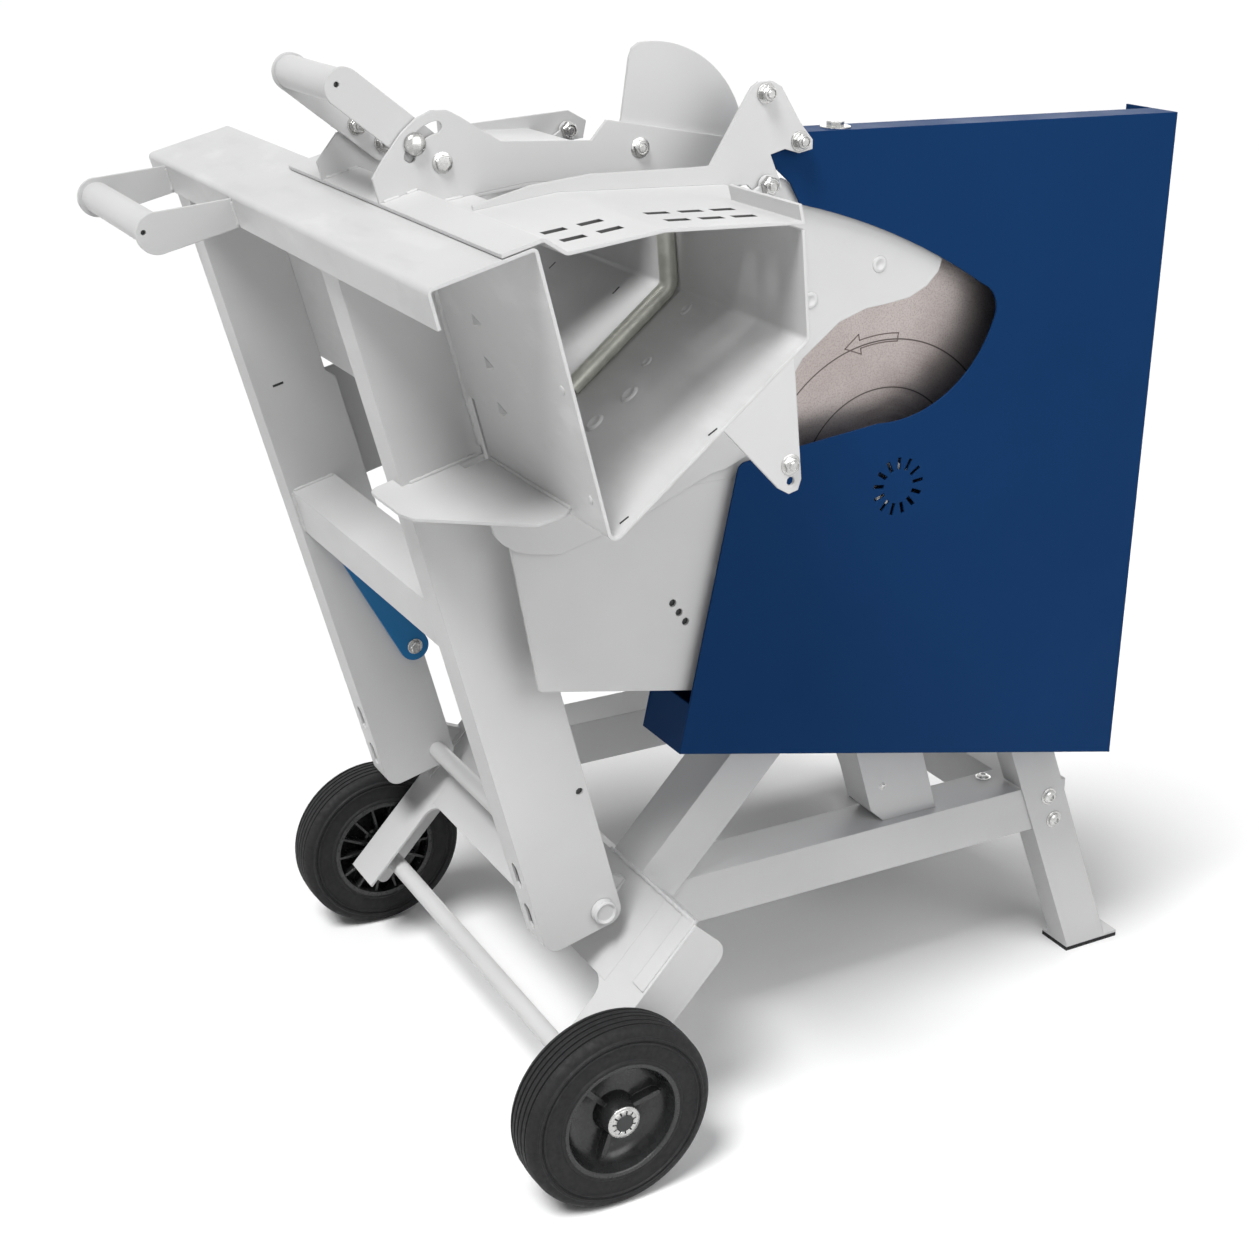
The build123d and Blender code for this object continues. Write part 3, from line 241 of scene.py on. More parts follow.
def rubber(name, colour):
    """Tyre rubber: matt, dusty, with fine rings moulded round the sidewall."""
    made = Shader(name)
    radius, _ = made.around(AXLE)
    dust = made.span(made.noise(30.0, detail=5.0), 0.45, 0.8, to_high=0.6)
    edge, normal = made.edges(1.2 * MM)
    base = made.mix(dust, colour, shade(colour, 2.2))
    # Lighter along the ridges of the tread and sidewall rings: a painted highlight with some dust.
    made.colour(made.mix(made.maths("MULTIPLY", edge, 0.6), base, shade(colour, 8)))
    made.rough(made.spread(made.noise(200.0, detail=3.0), 0.6, 0.8))
    pitch = 2 * MM
    ring = made.span(made.maths("PINGPONG", radius, pitch), 0.0, pitch, to_high=0.3)
    height = made.maths("ADD", ring, made.maths("MULTIPLY", made.noise(2200.0), 0.4))
    made.bump(height, strength=0.25, distance=0.4 * MM, normal=normal)
    made.surface.inputs["Specular IOR Level"].default_value = 0.35
    return made.material


def blade_steel(name):
    """Ground steel with circular grinding lines, fine specks and two printed rings."""
    rings = (90 * MM, 137 * MM)
    pale, dull, line = (0.50, 0.445, 0.43), (0.38, 0.325, 0.31), (0.58, 0.54, 0.52)
    speck, ink = (0.24, 0.205, 0.195), (0.11, 0.095, 0.09)
    made = Shader(name)
    radius, angle = made.around(BLADE_AXIS)
    round_blade = made.node("ShaderNodeCombineXYZ")
    made.join(made.maths("MULTIPLY", radius, 900.0), round_blade.inputs["X"])
    made.join(made.maths("MULTIPLY", angle, 2.0), round_blade.inputs["Y"])
    lines = made.noise(1.0, detail=4.0, place=round_blade.outputs["Vector"], roughness=0.7)
    cloud = made.span(made.noise(14.0, detail=4.0), 0.35, 0.7)
    specks = made.span(made.noise(650.0, detail=3.0), 0.45, 0.75, to_high=0.6)
    base = made.mix(cloud, pale, dull)
    base = made.mix(made.span(lines, 0.35, 0.75, to_high=0.5), base, line)
    base = made.mix(specks, base, speck)
    for ring in rings:
        off = made.maths("ABSOLUTE", made.maths("SUBTRACT", radius, ring))
        base = made.mix(made.span(off, 0.9 * MM, 0.5 * MM), base, ink)
    made.colour(base)
    made.rough(made.spread(lines, 0.34, 0.5))
    made.bump(lines, strength=0.15, distance=0.1 * MM)
    made.surface.inputs["Metallic"].default_value = 1.0
    made.surface.inputs["Anisotropic"].default_value = 0.4
    return made.material


GREY = (0.62, 0.62, 0.62)
MATERIALS = {
    "grey_paint": paint("grey_powder_coat", GREY, 0.42),
    "blue_paint": paint("blue_powder_coat", (0.0055, 0.0335, 0.112), 0.5, gloss=0.03),
    # A lighter blue than the guard's, brightened to make up for the shade the lever sits in: painted light.
    "lever_blue": paint("lever_paint_with_painted_light", (0.008, 0.16, 0.39), 0.4),
    "bright_steel": steel("zinc_steel", (0.54, 0.54, 0.53), 0.26),
    "black_plastic": plastic("black_moulding", (0.018, 0.019, 0.02), 0.36),
    "black_rubber": rubber("tyre_rubber", (0.0065, 0.0065, 0.007)),
    "motor_alloy": paint("motor_paint", (0.16, 0.17, 0.19), 0.45),
    "green_plastic": plastic("green_button", (0.02, 0.30, 0.07), 0.3),
    "red_plastic": plastic("red_button", (0.50, 0.02, 0.02), 0.3),
}
HUB_PLASTIC = plastic("hub_moulding", (0.019, 0.0195, 0.02), 0.26)
PRINT = plastic("brown_print", (0.16, 0.125, 0.115), 0.5)
# Near black for the walls of the lid's holes: painted shade.
HOLE_WALL_SHADE = plastic("painted_hole_shade", (0.055, 0.055, 0.055), 0.6)
BY_NODE = {
    "saw_blade": blade_steel("ground_blade"),
    "log_rod": steel("drawn_rod", (0.58, 0.59, 0.525), 0.42, metallic=0.25),
    "trough": paint("rubbed_powder_coat", GREY, 0.42, smudged=True),
}

for part in frame["record"]["subparts"]:
    node = frame["nodes"][part["node"]]
    node.data.materials.clear()
    node.data.materials.append(BY_NODE.get(part["node"], MATERIALS[part["material_slot"]]))


# Tools for the detail pieces. A facing turns a piece, which is drawn upwards, to another side

FACE_UP = Matrix()
FACE_NEAR = Matrix.Rotation(math.radians(90), 4, "Y")
FACE_FAR = Matrix.Rotation(math.radians(-90), 4, "Y")
FACE_FRONT = Matrix.Rotation(math.radians(90), 4, "X")
FACE_BACK = Matrix.Rotation(math.radians(-90), 4, "X")
SHARP = math.radians(32)
HEXAGON = 6
SMALL_ROUND = 16


def at(x, y, z, facing=FACE_UP, scale=(1, 1, 1)):
    return Matrix.Translation((x, y, z)) @ facing @ Matrix.Diagonal((*scale, 1))


def spun(turn):
    return Matrix.Rotation(math.radians(turn), 4, "Z")


def add(name, data):
    """Puts a new object in the scene."""
    made = bpy.data.objects.new(name, data)
    bpy.context.scene.collection.objects.link(made)
    return made


@contextmanager
def piece(name, place, body, slot, material=None, stands_for=()):
    """A shape to draw in a frame, which then becomes an object that a body carries."""
    shape = bmesh.new()
    yield shape
    shape.transform(place)
    bmesh.ops.recalc_face_normals(shape, faces=shape.faces)
    mesh = bpy.data.meshes.new(name)
    shape.to_mesh(mesh)
    shape.free()
    mesh.materials.append(material or MATERIALS[slot])
    mesh.shade_smooth()
    mesh.set_sharp_from_angle(angle=SHARP)
    made = add(name, mesh)
    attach(made, body)
    if stands_for:
        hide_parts(*stands_for)


def stack(shape, rings, closed=False):
    """Joins rings of points one after another into a surface; a ring of one point is a tip."""
    made = [[shape.verts.new(point) for point in ring] for ring in rings]
    if closed:
        made.append(made[0])
    for low, high in zip(made, made[1:]):
        count = max(len(low), len(high))
        for number in range(count):
            after = (number + 1) % count
            corners = (low[number % len(low)], low[after % len(low)])
            corners += (high[after % len(high)], high[number % len(high)])
            face = list(dict.fromkeys(corners))
            if len(face) > 2:
                shape.faces.new(face)


def circle(radius, height, sides):
    """Points round Z, or the one point on it where the radius is 0."""
    turns = [2 * math.pi * number / sides for number in range(sides if radius else 1)]
    return [Vector((radius * math.cos(turn), radius * math.sin(turn), height)) for turn in turns]


def turned(shape, profile, place=FACE_UP, sides=28, closed=False):
    """Surface turned about Z from points of radius and height."""
    rings = [circle(radius, height, sides) for radius, height in profile]
    stack(shape, [[place @ point for point in ring] for ring in rings], closed)


def raised(shape, outline, height, inset, place, base=0.0):
    """Solid on an outline of X and Y with its top edge drawn in."""
    middle = Vector((sum(x for x, _ in outline), sum(y for _, y in outline))) / len(outline)
    arms = [Vector(point) - middle for point in outline]
    share = 1 - inset / max(arm.length for arm in arms)

    def ring(level, size):
        return [place @ Vector((*(middle + arm * size), level)) for arm in arms]

    foot, tip = [[place @ Vector((*middle, level))] for level in (base, height)]
    stack(shape, [foot, ring(base, 1), ring(height - inset, 1), ring(height, share), tip])


def bar(half_x, half_y):
    return [(-half_x, -half_y), (half_x, -half_y), (half_x, half_y), (-half_x, half_y)]


def disc(radius, low, high, bevel):
    """Profile of a disc whose top edge is cut back by a bevel's width and height."""
    width, fall = bevel
    return [(0, low), (radius, low), (radius, high - fall), (radius - width, high), (0, high)]


# Weld beads

BEAD_SIDES = 8
RIPPLE = 2.2  # length of one ripple
RIPPLE_SIZES = (0.72, 1.12)
BEAD_TIP = 0.6  # length of a bead's tips, in radii


def bead(shape, start, end, radius, seed):
    """Weld bead along a line, with the ripple of the run."""
    chance = random.Random(seed)
    start, end = Vector(start), Vector(end)
    run = (end - start).length
    ahead = (end - start).normalized()
    side = ahead.orthogonal().normalized()
    across = ahead.cross(side)
    count = max(2, round(run / RIPPLE))
    turns = [2 * math.pi * step / BEAD_SIDES for step in range(BEAD_SIDES)]
    spokes = [(math.cos(turn), math.sin(turn)) for turn in turns]
    rings = []
    for number in range(count + 1):
        middle = start + ahead * (run * number / count)
        size = radius * chance.uniform(*RIPPLE_SIZES)
        rings.append([middle + side * (size * u) + across * (size * v) for u, v in spokes])
    tip = ahead * radius * BEAD_TIP
    stack(shape, [[start - tip], *rings, [end + tip]])


def bead_at(shape, x, start, end, radius, seed):
    """Weld bead in the plane at x, from points of Y and Z."""
    bead(shape, (x, *start), (x, *end), radius, seed)


# Fasteners

WASHER = 1.4
NUT = disc(7, WASHER, 7.4, (1, 0.8))
LOCK_RING = [(0, 7), (5.9, 7), (5.9, 8.3), (5.3, 9.1), (4.6, 9.1), (4.4, 8.1), (0, 8.1)]
BOLT_END = disc(3.6, 7.5, 10.2, (0.6, 0.7))
SOCKET_HEAD = [(0, 1), (8, 1), (7.7, 3), (6.2, 4.7), (4.2, 5.5), (3.6, 5.5), (3.4, 3.6), (0, 3.6)]


def flattened(share):
    """Scale of a fastener that stands less far out."""
    return 1, 1, share


def washer(shape, place, radius=9, thick=WASHER):
    turned(shape, disc(radius, 0, thick, (0.5, 0.3 * thick)), place)


def lock_nut(shape, place):
    """Washer, nut with a lock ring, and the end of its bolt."""
    washer(shape, place)
    turned(shape, NUT, place, HEXAGON)
    turned(shape, LOCK_RING, place)
    turned(shape, BOLT_END, place, SMALL_ROUND)


def cap_head(shape, place):
    """Low round head with a socket, on its washer."""
    washer(shape, place, radius=10.5, thick=1.2)
    turned(shape, SOCKET_HEAD, place)


def hex_head(shape, place, radius=7, washer_r=9):
    """Hexagon head with its rounded top edge, on a washer."""
    washer(shape, place, radius=washer_r)
    head = [(0, WASHER), (radius, WASHER), (radius, 5), (radius - 0.9, 5.8), (0, 6)]
    turned(shape, head, place, HEXAGON)


def pin(shape, x0, x1, y, z, radius):
    length = x1 - x0
    turned(shape, [(0, 0), (radius, 0), (radius, length), (0, length)], at(x0, y, z, FACE_NEAR))


# Lid and its handle, in the rocker's frame: the bolts through the webs, the bolts that the handle
# turns on, and the stud that runs in the far web's slot

NEAR_WEB_X = (251, 254)
FAR_WEB_X = 199
EAR_X = 60
HANDLE_INNER_X = (68.5, 190.5)  # inner faces of the handle's arms
HANDLE_OUTER_X = 194.5  # outer face of its near arm
SIDE_GAP = 0.5  # between faces that turn past each other
NEAR_WEB_BOLTS = ((327, 730), (351, 680))
NEAR_WEB_HEAD = flattened(0.6)
FIN_BOLT = (226, 708)
FIN_NUT = flattened(0.55)
LID_PIVOT = joint_in(ROCKER, "lid_handle_set")
LID_PIVOT_R = 5
LID_PIVOT_HEAD = flattened(0.66)
LID_PIVOT_NUTS_X = (HANDLE_INNER_X[0] + SIDE_GAP, HANDLE_INNER_X[1] - SIDE_GAP)
STUD = (28, 777)
STUD_R = 4
STUD_HEAD = [(0, 0), (9.5, 0), (9.5, 1.4), (8.6, 3.6), (6.4, 5.2), (3.4, 5.9), (0, 6)]
STUD_HEAD_X = FAR_WEB_X + SIDE_GAP
LAP = 0.1  # how far a pin runs into its head

with piece("lid_fasteners", ROCKER, "lid", "bright_steel", stands_for=["lid_bolts"]) as shape:
    for bolt in NEAR_WEB_BOLTS:
        lock_nut(shape, at(NEAR_WEB_X[1], *bolt, FACE_NEAR))
        hex_head(shape, at(NEAR_WEB_X[0], *bolt, FACE_FAR, NEAR_WEB_HEAD))
    lock_nut(shape, at(FAR_WEB_X, *FIN_BOLT, FACE_NEAR, FIN_NUT))
    hex_head(shape, at(FAR_WEB_X, *LID_PIVOT, FACE_NEAR, LID_PIVOT_HEAD))
    lock_nut(shape, at(LID_PIVOT_NUTS_X[1], *LID_PIVOT, FACE_FAR))
    hex_head(shape, at(EAR_X, *LID_PIVOT, FACE_FAR, LID_PIVOT_HEAD))
    lock_nut(shape, at(LID_PIVOT_NUTS_X[0], *LID_PIVOT, FACE_NEAR))
    pin(shape, LID_PIVOT_NUTS_X[1], FAR_WEB_X, *LID_PIVOT, LID_PIVOT_R)
    pin(shape, EAR_X, LID_PIVOT_NUTS_X[0], *LID_PIVOT, LID_PIVOT_R)

with piece("stud_head", ROCKER, "lid_handle", "bright_steel", stands_for=["handle_stud"]) as shape:
    turned(shape, STUD_HEAD, at(STUD_HEAD_X, *STUD, FACE_NEAR))
    pin(shape, HANDLE_OUTER_X, STUD_HEAD_X + LAP, *STUD, STUD_R)

with piece("handle_nut", ROCKER, "lid_handle", "bright_steel") as shape:
    lock_nut(shape, at(HANDLE_INNER_X[0], *STUD, FACE_NEAR))


# Rocker: the trough's end bolt, the lock lever's bolt and the nuts on the lid's hinge pins

TROUGH_END_X = 436
END_BOLT = (181, 490)
END_NUT = flattened(0.57)
LEVER = joint_in(ROCKER, "lock_lever_turn")
LEVER_BOLT_X = (-222.5, -215)
LEVER_BOLT_R = 5
LID_HINGE = joint_in(ROCKER, "lid_open")
HINGE_NUTS_X = (260, -130)
HINGE_NUT = disc(8.7, 0.05, 6.4, (1, 0.8))
HINGE_RING = [(0, 6), (7, 6), (7, 7.2), (6.3, 8), (5.2, 8), (5, 7), (0, 7)]
HINGE_END = disc(3.9, 6.4, 9, (0.7, 0.6))

with piece("rocker_fasteners", ROCKER, "rocker", "bright_steel",
           stands_for=["rocker_bolts"]) as shape:
    lock_nut(shape, at(TROUGH_END_X, *END_BOLT, FACE_NEAR, END_NUT))
    hex_head(shape, at(LEVER_BOLT_X[1], *LEVER, FACE_NEAR))
    pin(shape, *LEVER_BOLT_X, *LEVER, LEVER_BOLT_R)

with piece("hinge_nuts", ROCKER, "rocker", "bright_steel") as shape:
    for x in HINGE_NUTS_X:
        hinge = at(x, *LID_HINGE, FACE_NEAR)
        turned(shape, HINGE_NUT, hinge, HEXAGON)
        turned(shape, HINGE_RING, hinge)
        turned(shape, HINGE_END, hinge, SMALL_ROUND)


# Base: bolts at the legs, post, beam and guard, screws of the motor and its switch, pivot caps

LEG_BOLTS = ((643, 219), (653, 187))
LEG_FACES_X = (165, -298)
POST_SCREW = (150, 419, 278)
POST_SCREW_SCALE = (0.4, 0.4, 0.4)
BEAM_BOLT = (115, 586, 235)
BEAM_BOLT_SCALE = (0.85, 0.85, 0.7)
GUARD_BOLT = (227, 272, 1001.1)
MOTOR_SCREWS_X = 153
MOTOR_SCREWS_R = 90.5
MOTOR_SCREW_TURNS = range(45, 360, 90)
MOTOR_SCREW_SCALE = (0.55, 0.55, 0.55)
SWITCH_FACE_Y = 151
SWITCH_SCREWS_X = (32, 98)
SWITCH_SCREWS_Z = (-42, 42)
SWITCH_SCREW_SCALE = (0.4, 0.4, 0.3)
PIVOT_YZ = joint_in(MACHINE, "rocker_swing")
PIVOT_CAPS_X = (206.5, -282)
PIVOT_CAP = [(0, 0), (12.9, 0), (12.4, 1.6), (10.8, 2.5), (9.2, 1.8), (8.4, 0.7), (0, 0.7)]

with piece("frame_fasteners", MACHINE, "base", "bright_steel",
           stands_for=["frame_bolts"]) as shape:
    for bolt in LEG_BOLTS:
        for x, facing in zip(LEG_FACES_X, (FACE_NEAR, FACE_FAR)):
            cap_head(shape, at(x, *bolt, facing))
    cap_head(shape, at(*POST_SCREW, FACE_NEAR, POST_SCREW_SCALE))
    cap_head(shape, at(*BEAM_BOLT, FACE_UP, BEAM_BOLT_SCALE))
    hex_head(shape, at(*GUARD_BOLT), radius=8, washer_r=14)

with piece("motor_screws", BLADE, "base", "bright_steel") as shape:
    for turn in MOTOR_SCREW_TURNS:
        y = MOTOR_SCREWS_R * math.cos(math.radians(turn))
        z = MOTOR_SCREWS_R * math.sin(math.radians(turn))
        hex_head(shape, at(MOTOR_SCREWS_X, y, z, FACE_FAR, MOTOR_SCREW_SCALE), washer_r=8)
    for x in SWITCH_SCREWS_X:
        for z in SWITCH_SCREWS_Z:
            cap_head(shape, at(x, SWITCH_FACE_Y, z, FACE_BACK, SWITCH_SCREW_SCALE))

with piece("pivot_caps", MACHINE, "base", "grey_paint") as shape:
    for x, facing in zip(PIVOT_CAPS_X, (FACE_NEAR, FACE_FAR)):
        turned(shape, PIVOT_CAP, at(x, *PIVOT_YZ, facing))


# Wheels: tyres with a ribbed tread and moulded hubs, as radius and height from the inner side

WHEEL_INNER_X = 283
WHEEL_WIDTH = 52
RIM_R = 62
TYRE_SIDES = 96
HUB_SIDES = 72
SIDEWALL = [(RIM_R, 0.2), (65, 0.2), (66.5, 1.8), (82, 2.2), (82.8, 0.9), (84, 0.9)]
SIDEWALL += [(84.8, 2.4), (86.2, 2.4), (87, 0.6), (89, 0.6), (90, 2.4)]
SIDEWALL += [(93, 3), (96, 4.6), (98.4, 7.4)]
GROOVES = range(12, 41, 7)
GROOVE_DEPTH = 2.4
GROOVE_TOP_HALF = 1.5
GROOVE_FLOOR_HALF = 0.9
CROWN_FALL = 0.05  # per millimetre from the middle of the tread
HUB_BORE_R = 10.05
HUB_INNER = [(17, 0), (17.4, 20), (20, 22), (50, 22), (55, 19), (57, 0), (RIM_R, 0)]
HUB_OUTER = [(RIM_R, WHEEL_WIDTH), (58.5, WHEEL_WIDTH), (57.4, 51), (56, 42), (53, 34), (47, 29)]
HUB_OUTER += [(40, 27.5), (26, 27), (21.5, 29), (19, 36), (17.6, 50), (16.6, WHEEL_WIDTH)]
HUB = [(HUB_BORE_R, 0), *HUB_INNER, *HUB_OUTER, (HUB_BORE_R, WHEEL_WIDTH)]
SPOKE = [(-2.4, 15), (2.4, 15), (3.3, 45), (2.4, 49), (0, 50.5), (-2.4, 49), (-3.3, 45)]
SPOKES = 3
SPOKE_TURN = 12
SPOKE_LEVELS = (26, 38)
SPOKE_BEVEL = 1.8
RIB = [(-1.5, 16), (1.5, 16), (1.5, 57.5), (-1.5, 57.5)]
RIBS = 14
RIB_LEVELS = (-22.5, -3)
RIB_BEVEL = 0.8


def tyre_profile():
    """One sidewall, the grooved tread and the other sidewall."""
    tread = []
    for groove in GROOVES:
        crown = WHEEL_R - abs(groove - WHEEL_WIDTH / 2) * CROWN_FALL
        tread.append((crown, groove - GROOVE_TOP_HALF))
        tread.append((crown - GROOVE_DEPTH, groove - GROOVE_FLOOR_HALF))
        tread.append((crown - GROOVE_DEPTH, groove + GROOVE_FLOOR_HALF))
        tread.append((crown, groove + GROOVE_TOP_HALF))
    return SIDEWALL + tread + [(radius, WHEEL_WIDTH - x) for radius, x in reversed(SIDEWALL)]


def wheel_hub(shape, wheel):
    """Hub with spokes on its outer face and ribs on its inner face."""
    turned(shape, HUB, wheel, HUB_SIDES, closed=True)
    for number in range(SPOKES):
        spin = spun(SPOKE_TURN + 360 / SPOKES * number)
        raised(shape, SPOKE, SPOKE_LEVELS[1], SPOKE_BEVEL, wheel @ spin, SPOKE_LEVELS[0])
    turned_over = Matrix.Rotation(math.pi, 4, "X")
    for number in range(RIBS):
        rib = wheel @ spun(360 / RIBS * number) @ turned_over
        raised(shape, RIB, RIB_LEVELS[1], RIB_BEVEL, rib, RIB_LEVELS[0])


for name, side in (("near", 1), ("far", -1)):
    body = name + "_wheel"
    wheel = at(0, 0, AXLE_Z, scale=(side, 1, 1)) @ at(WHEEL_INNER_X, 0, 0, FACE_NEAR)
    with piece(name + "_ribbed_tyre", MACHINE, body, "black_rubber",
               stands_for=[name + "_tyre"]) as shape:
        turned(shape, tyre_profile(), wheel, TYRE_SIDES, closed=True)
    with piece(name + "_moulded_hub", MACHINE, body, "black_plastic", HUB_PLASTIC,
               stands_for=[name + "_wheel_hub"]) as shape:
        wheel_hub(shape, wheel)


# Axle with its plastic ends and toothed push-on washers

AXLE_R = 10
AXLE_END_X = 334
AXLE_SIDES = 36
AXLE_CAP = disc(9, 0, 4.4, (1.2, 1))
WASHER_X = 335.9
WASHER_CONE = [(9.2, 1.8), (12.9, 1.0), (13.5, 0.3), (17.0, 0.0)]
WASHER_SHEET = 0.7
TOOTH_R = 9.5
TEETH = 11
TOOTH_FACES = 4  # round the washer for each tooth; the first is cut out

with piece("axle_bar", MACHINE, "base", "grey_paint", stands_for=["wheel_axle"]) as shape:
    length = 2 * AXLE_END_X
    rod = [(0, 0), (AXLE_R, 0), (AXLE_R, length), (0, length)]
    turned(shape, rod, at(-AXLE_END_X, 0, AXLE_Z, FACE_NEAR), AXLE_SIDES)

with piece("axle_ends", MACHINE, "base", "black_plastic") as shape:
    for x, facing in ((AXLE_END_X, FACE_NEAR), (-AXLE_END_X, FACE_FAR)):
        turned(shape, AXLE_CAP, at(x, 0, AXLE_Z, facing), AXLE_SIDES)


def from_axle(corner):
    return math.hypot(corner.co.y, corner.co.z - AXLE_Z)


with piece("toothed_washers", MACHINE, "base", "bright_steel") as shape:
    for x, facing in ((WASHER_X, FACE_NEAR), (-WASHER_X, FACE_FAR)):
        turned(shape, WASHER_CONE, at(x, 0, AXLE_Z, facing), TEETH * TOOTH_FACES)
    inner = [face for face in shape.faces if min(map(from_axle, face.verts)) < TOOTH_R]
    bmesh.ops.delete(shape, geom=inner[::TOOTH_FACES], context="FACES")
thickness = bpy.data.objects["toothed_washers"].modifiers.new("thickness", "SOLIDIFY")
thickness.thickness = WASHER_SHEET * MM
thickness.offset = 0


# Welds: a run is its start, end, radius and seed. A run that lies in a plane at x has its ends in
# Y and Z

LEG_SEAM = (200.8, (11, 512), (11, 700), 3.0, 1)
GUSSET_BACK = ((220, 10.5, 504.5), (374, 10.5, 504.5), 2.0, 2)
GUSSET_SIDE = (200.5, (-60, 504.5), (6, 504.5), 2.0, 3)
MID_BEAM_ENDS_X = (159.4, -219.4)
MID_BEAM_FRONT = ((-64.3, 320), (-64.3, 366), 2.0, 4)
MID_BEAM_TOP = ((-62, 368.3), (-16, 368.3), 2.0, 5)
PUSH_ARM_SIDES_X = (-20, -24, -232, -236)
PUSH_ARM_FOOT = ((-77.6, 708), (-77.6, 729), 1.6, 6)
WEB_WELD_X = 199.6
EAR_WELD_X = 63.4
WEB_FOOT_RUNS = (((-11, 741.2), (3, 741.2)), ((10, 741.2), (19, 741.2)), ((38, 725), (56, 722.6)))
WEB_FOOT_R = 1.8
CROSS_BEAM_TOP = ((102, 190, 26.8), (276, 190, 26.8), 2.6, 9)
LUG_SIDES_X = (139.5, 150.5, -263.5, -276.5)
LUG_FOOT = ((110, 27), (175, 27), 2.2, 10)
STRAPS = ((267, 148, 26.5), (-267, 148, 26.5))
STRAP_HALF = (10, 42)
STRAP_HEIGHT = 2.0
STRAP_EDGE = 0.3
PANEL_CORNER = ((232, -411, 26), (232, -381, -141), 1.5, 11)

with piece("rocker_welds", ROCKER, "rocker", "grey_paint") as shape:
    bead_at(shape, *LEG_SEAM)
    bead(shape, *GUSSET_BACK)
    bead_at(shape, *GUSSET_SIDE)
    for x in MID_BEAM_ENDS_X:
        bead_at(shape, x, *MID_BEAM_FRONT)
        bead_at(shape, x, *MID_BEAM_TOP)
    for x in PUSH_ARM_SIDES_X:
        bead_at(shape, x, *PUSH_ARM_FOOT)

with piece("lid_welds", ROCKER, "lid", "grey_paint") as shape:
    for start, end in WEB_FOOT_RUNS:
        bead_at(shape, WEB_WELD_X, start, end, WEB_FOOT_R, seed=7)
        bead_at(shape, EAR_WELD_X, start, end, WEB_FOOT_R, seed=8)

with piece("frame_welds", SLOPE, "base", "grey_paint") as shape:
    bead(shape, *CROSS_BEAM_TOP)
    for x in LUG_SIDES_X:
        bead_at(shape, x, *LUG_FOOT)
    for strap in STRAPS:
        raised(shape, bar(*STRAP_HALF), STRAP_HEIGHT, STRAP_EDGE, at(*strap), -STRAP_EDGE)

with piece("panel_weld", BLADE, "base", "grey_paint") as shape:
    bead(shape, *PANEL_CORNER)


# Top of the blade panel behind the shield, rounded about the rocker's pivot so that the trough
# clears it

PANEL_X = 229.6
PANEL_SHEET = 2.8
PANEL_EDGE = 0.4
PANEL_FOOT = [(-60, 688), (199, 690)]
PANEL_ARC_R = 480
PANEL_ARC_TURNS = (71.7, 103)
PANEL_ARC_STEPS = 8


def panel_line():
    """Outline of Y and Z: the foot and the arc over it."""
    line = list(PANEL_FOOT)
    first, last = PANEL_ARC_TURNS
    for step in range(PANEL_ARC_STEPS + 1):
        turn = math.radians(first + (last - first) * step / PANEL_ARC_STEPS)
        arm = Vector((math.cos(turn), math.sin(turn))) * PANEL_ARC_R
        line.append(tuple(PIVOT_YZ + arm))
    return line


with piece("panel_top", MACHINE, "base", "grey_paint") as shape:
    outline = [(-z, y) for y, z in panel_line()]
    raised(shape, outline, PANEL_SHEET, PANEL_EDGE, at(PANEL_X, 0, 0, FACE_NEAR))


# Pressed dents, and slits drawn as dark plates of painted shade, in the rocker's frame

WALL_Y = 11  # front of the trough's inner wall
SINK = 0.2  # how deep the foot of a dent lies in the sheet
VALLEY = (14, 492)
FLOOR_EDGE = (218, 586)
FLOOR_TILT = math.atan2(FLOOR_EDGE[1] - VALLEY[1], FLOOR_EDGE[0] - VALLEY[0])
FACE_OUT_OF_FLOOR = Matrix.Rotation(FLOOR_TILT, 4, "X")
SHIELD_X = 239
WALL_DENTS = ((278, 646), (280, 608), (281, 567.5))
DENT = ((-9, 5, 0), (-2, -7, 0), (8, -2, 0))
DENT_TIP = (-1, -3, 4)
SHIELD_RINGS = ((419, 538.4), (340.5, 532))
SHIELD_RING = [(0, 0), (8, 0), (7.2, 0.8), (5, 1.2), (4, 0.6), (0, 0.2)]
WALL_SPOTS = ((420, 620), (419.5, 526))
WALL_SPOT = [(0, 0), (4, 0), (3.4, 0.9), (1.8, 1.3), (0, 1.4)]
FLOOR_DIMPLES = ((285, 86, 525.1), (294, 119.5, 540.5), (277, 150, 554.6), (263, 204, 579.5))
DIMPLE_SIZES = (1, 1, 0.6, 0.7)
DIMPLE = [(0, -0.4), (8, -0.4), (7.4, 1.2), (6, 2.2), (4.4, 1.9), (3, 0.9), (0, 0.6)]
DIMPLE_STRETCH = 1.2
DENT_SIDES = 24
TAIL_SLITS = ((14, 195.7, 575.8), (145, 196.5, 576.2))
END_SLITS = ((425, 32, 500.4), (430, 122, 541.9))
FLOOR_SLIT = bar(4.5, 0.9)
TAIL_SLIT_TURN = 90
END_SLIT_TURN = 75
LEG_SLIT_AT = (-220, -42, 485)
LEG_SLIT = bar(1.2, 6)
SLIT_HEIGHT = 0.25
SLIT_EDGE = 0.1
SLIT_BASE = -0.4

with piece("pressed_dimples", ROCKER, "rocker", "grey_paint") as shape:
    for x, z in WALL_DENTS:
        wall = at(x, WALL_Y + SINK, z, FACE_FRONT)
        corners = [wall @ Vector(corner) for corner in DENT]
        stack(shape, [[wall.translation], corners, [wall @ Vector(DENT_TIP)]])
    for point in SHIELD_RINGS:
        turned(shape, SHIELD_RING, at(SHIELD_X, *point, FACE_NEAR), DENT_SIDES)
    for x, z in WALL_SPOTS:
        turned(shape, WALL_SPOT, at(x, WALL_Y + SINK, z, FACE_FRONT), SMALL_ROUND)
    for point, size in zip(FLOOR_DIMPLES, DIMPLE_SIZES):
        sizes = (size, size * DIMPLE_STRETCH, size)
        turned(shape, DIMPLE, at(*point, FACE_OUT_OF_FLOOR, sizes), DENT_SIDES)
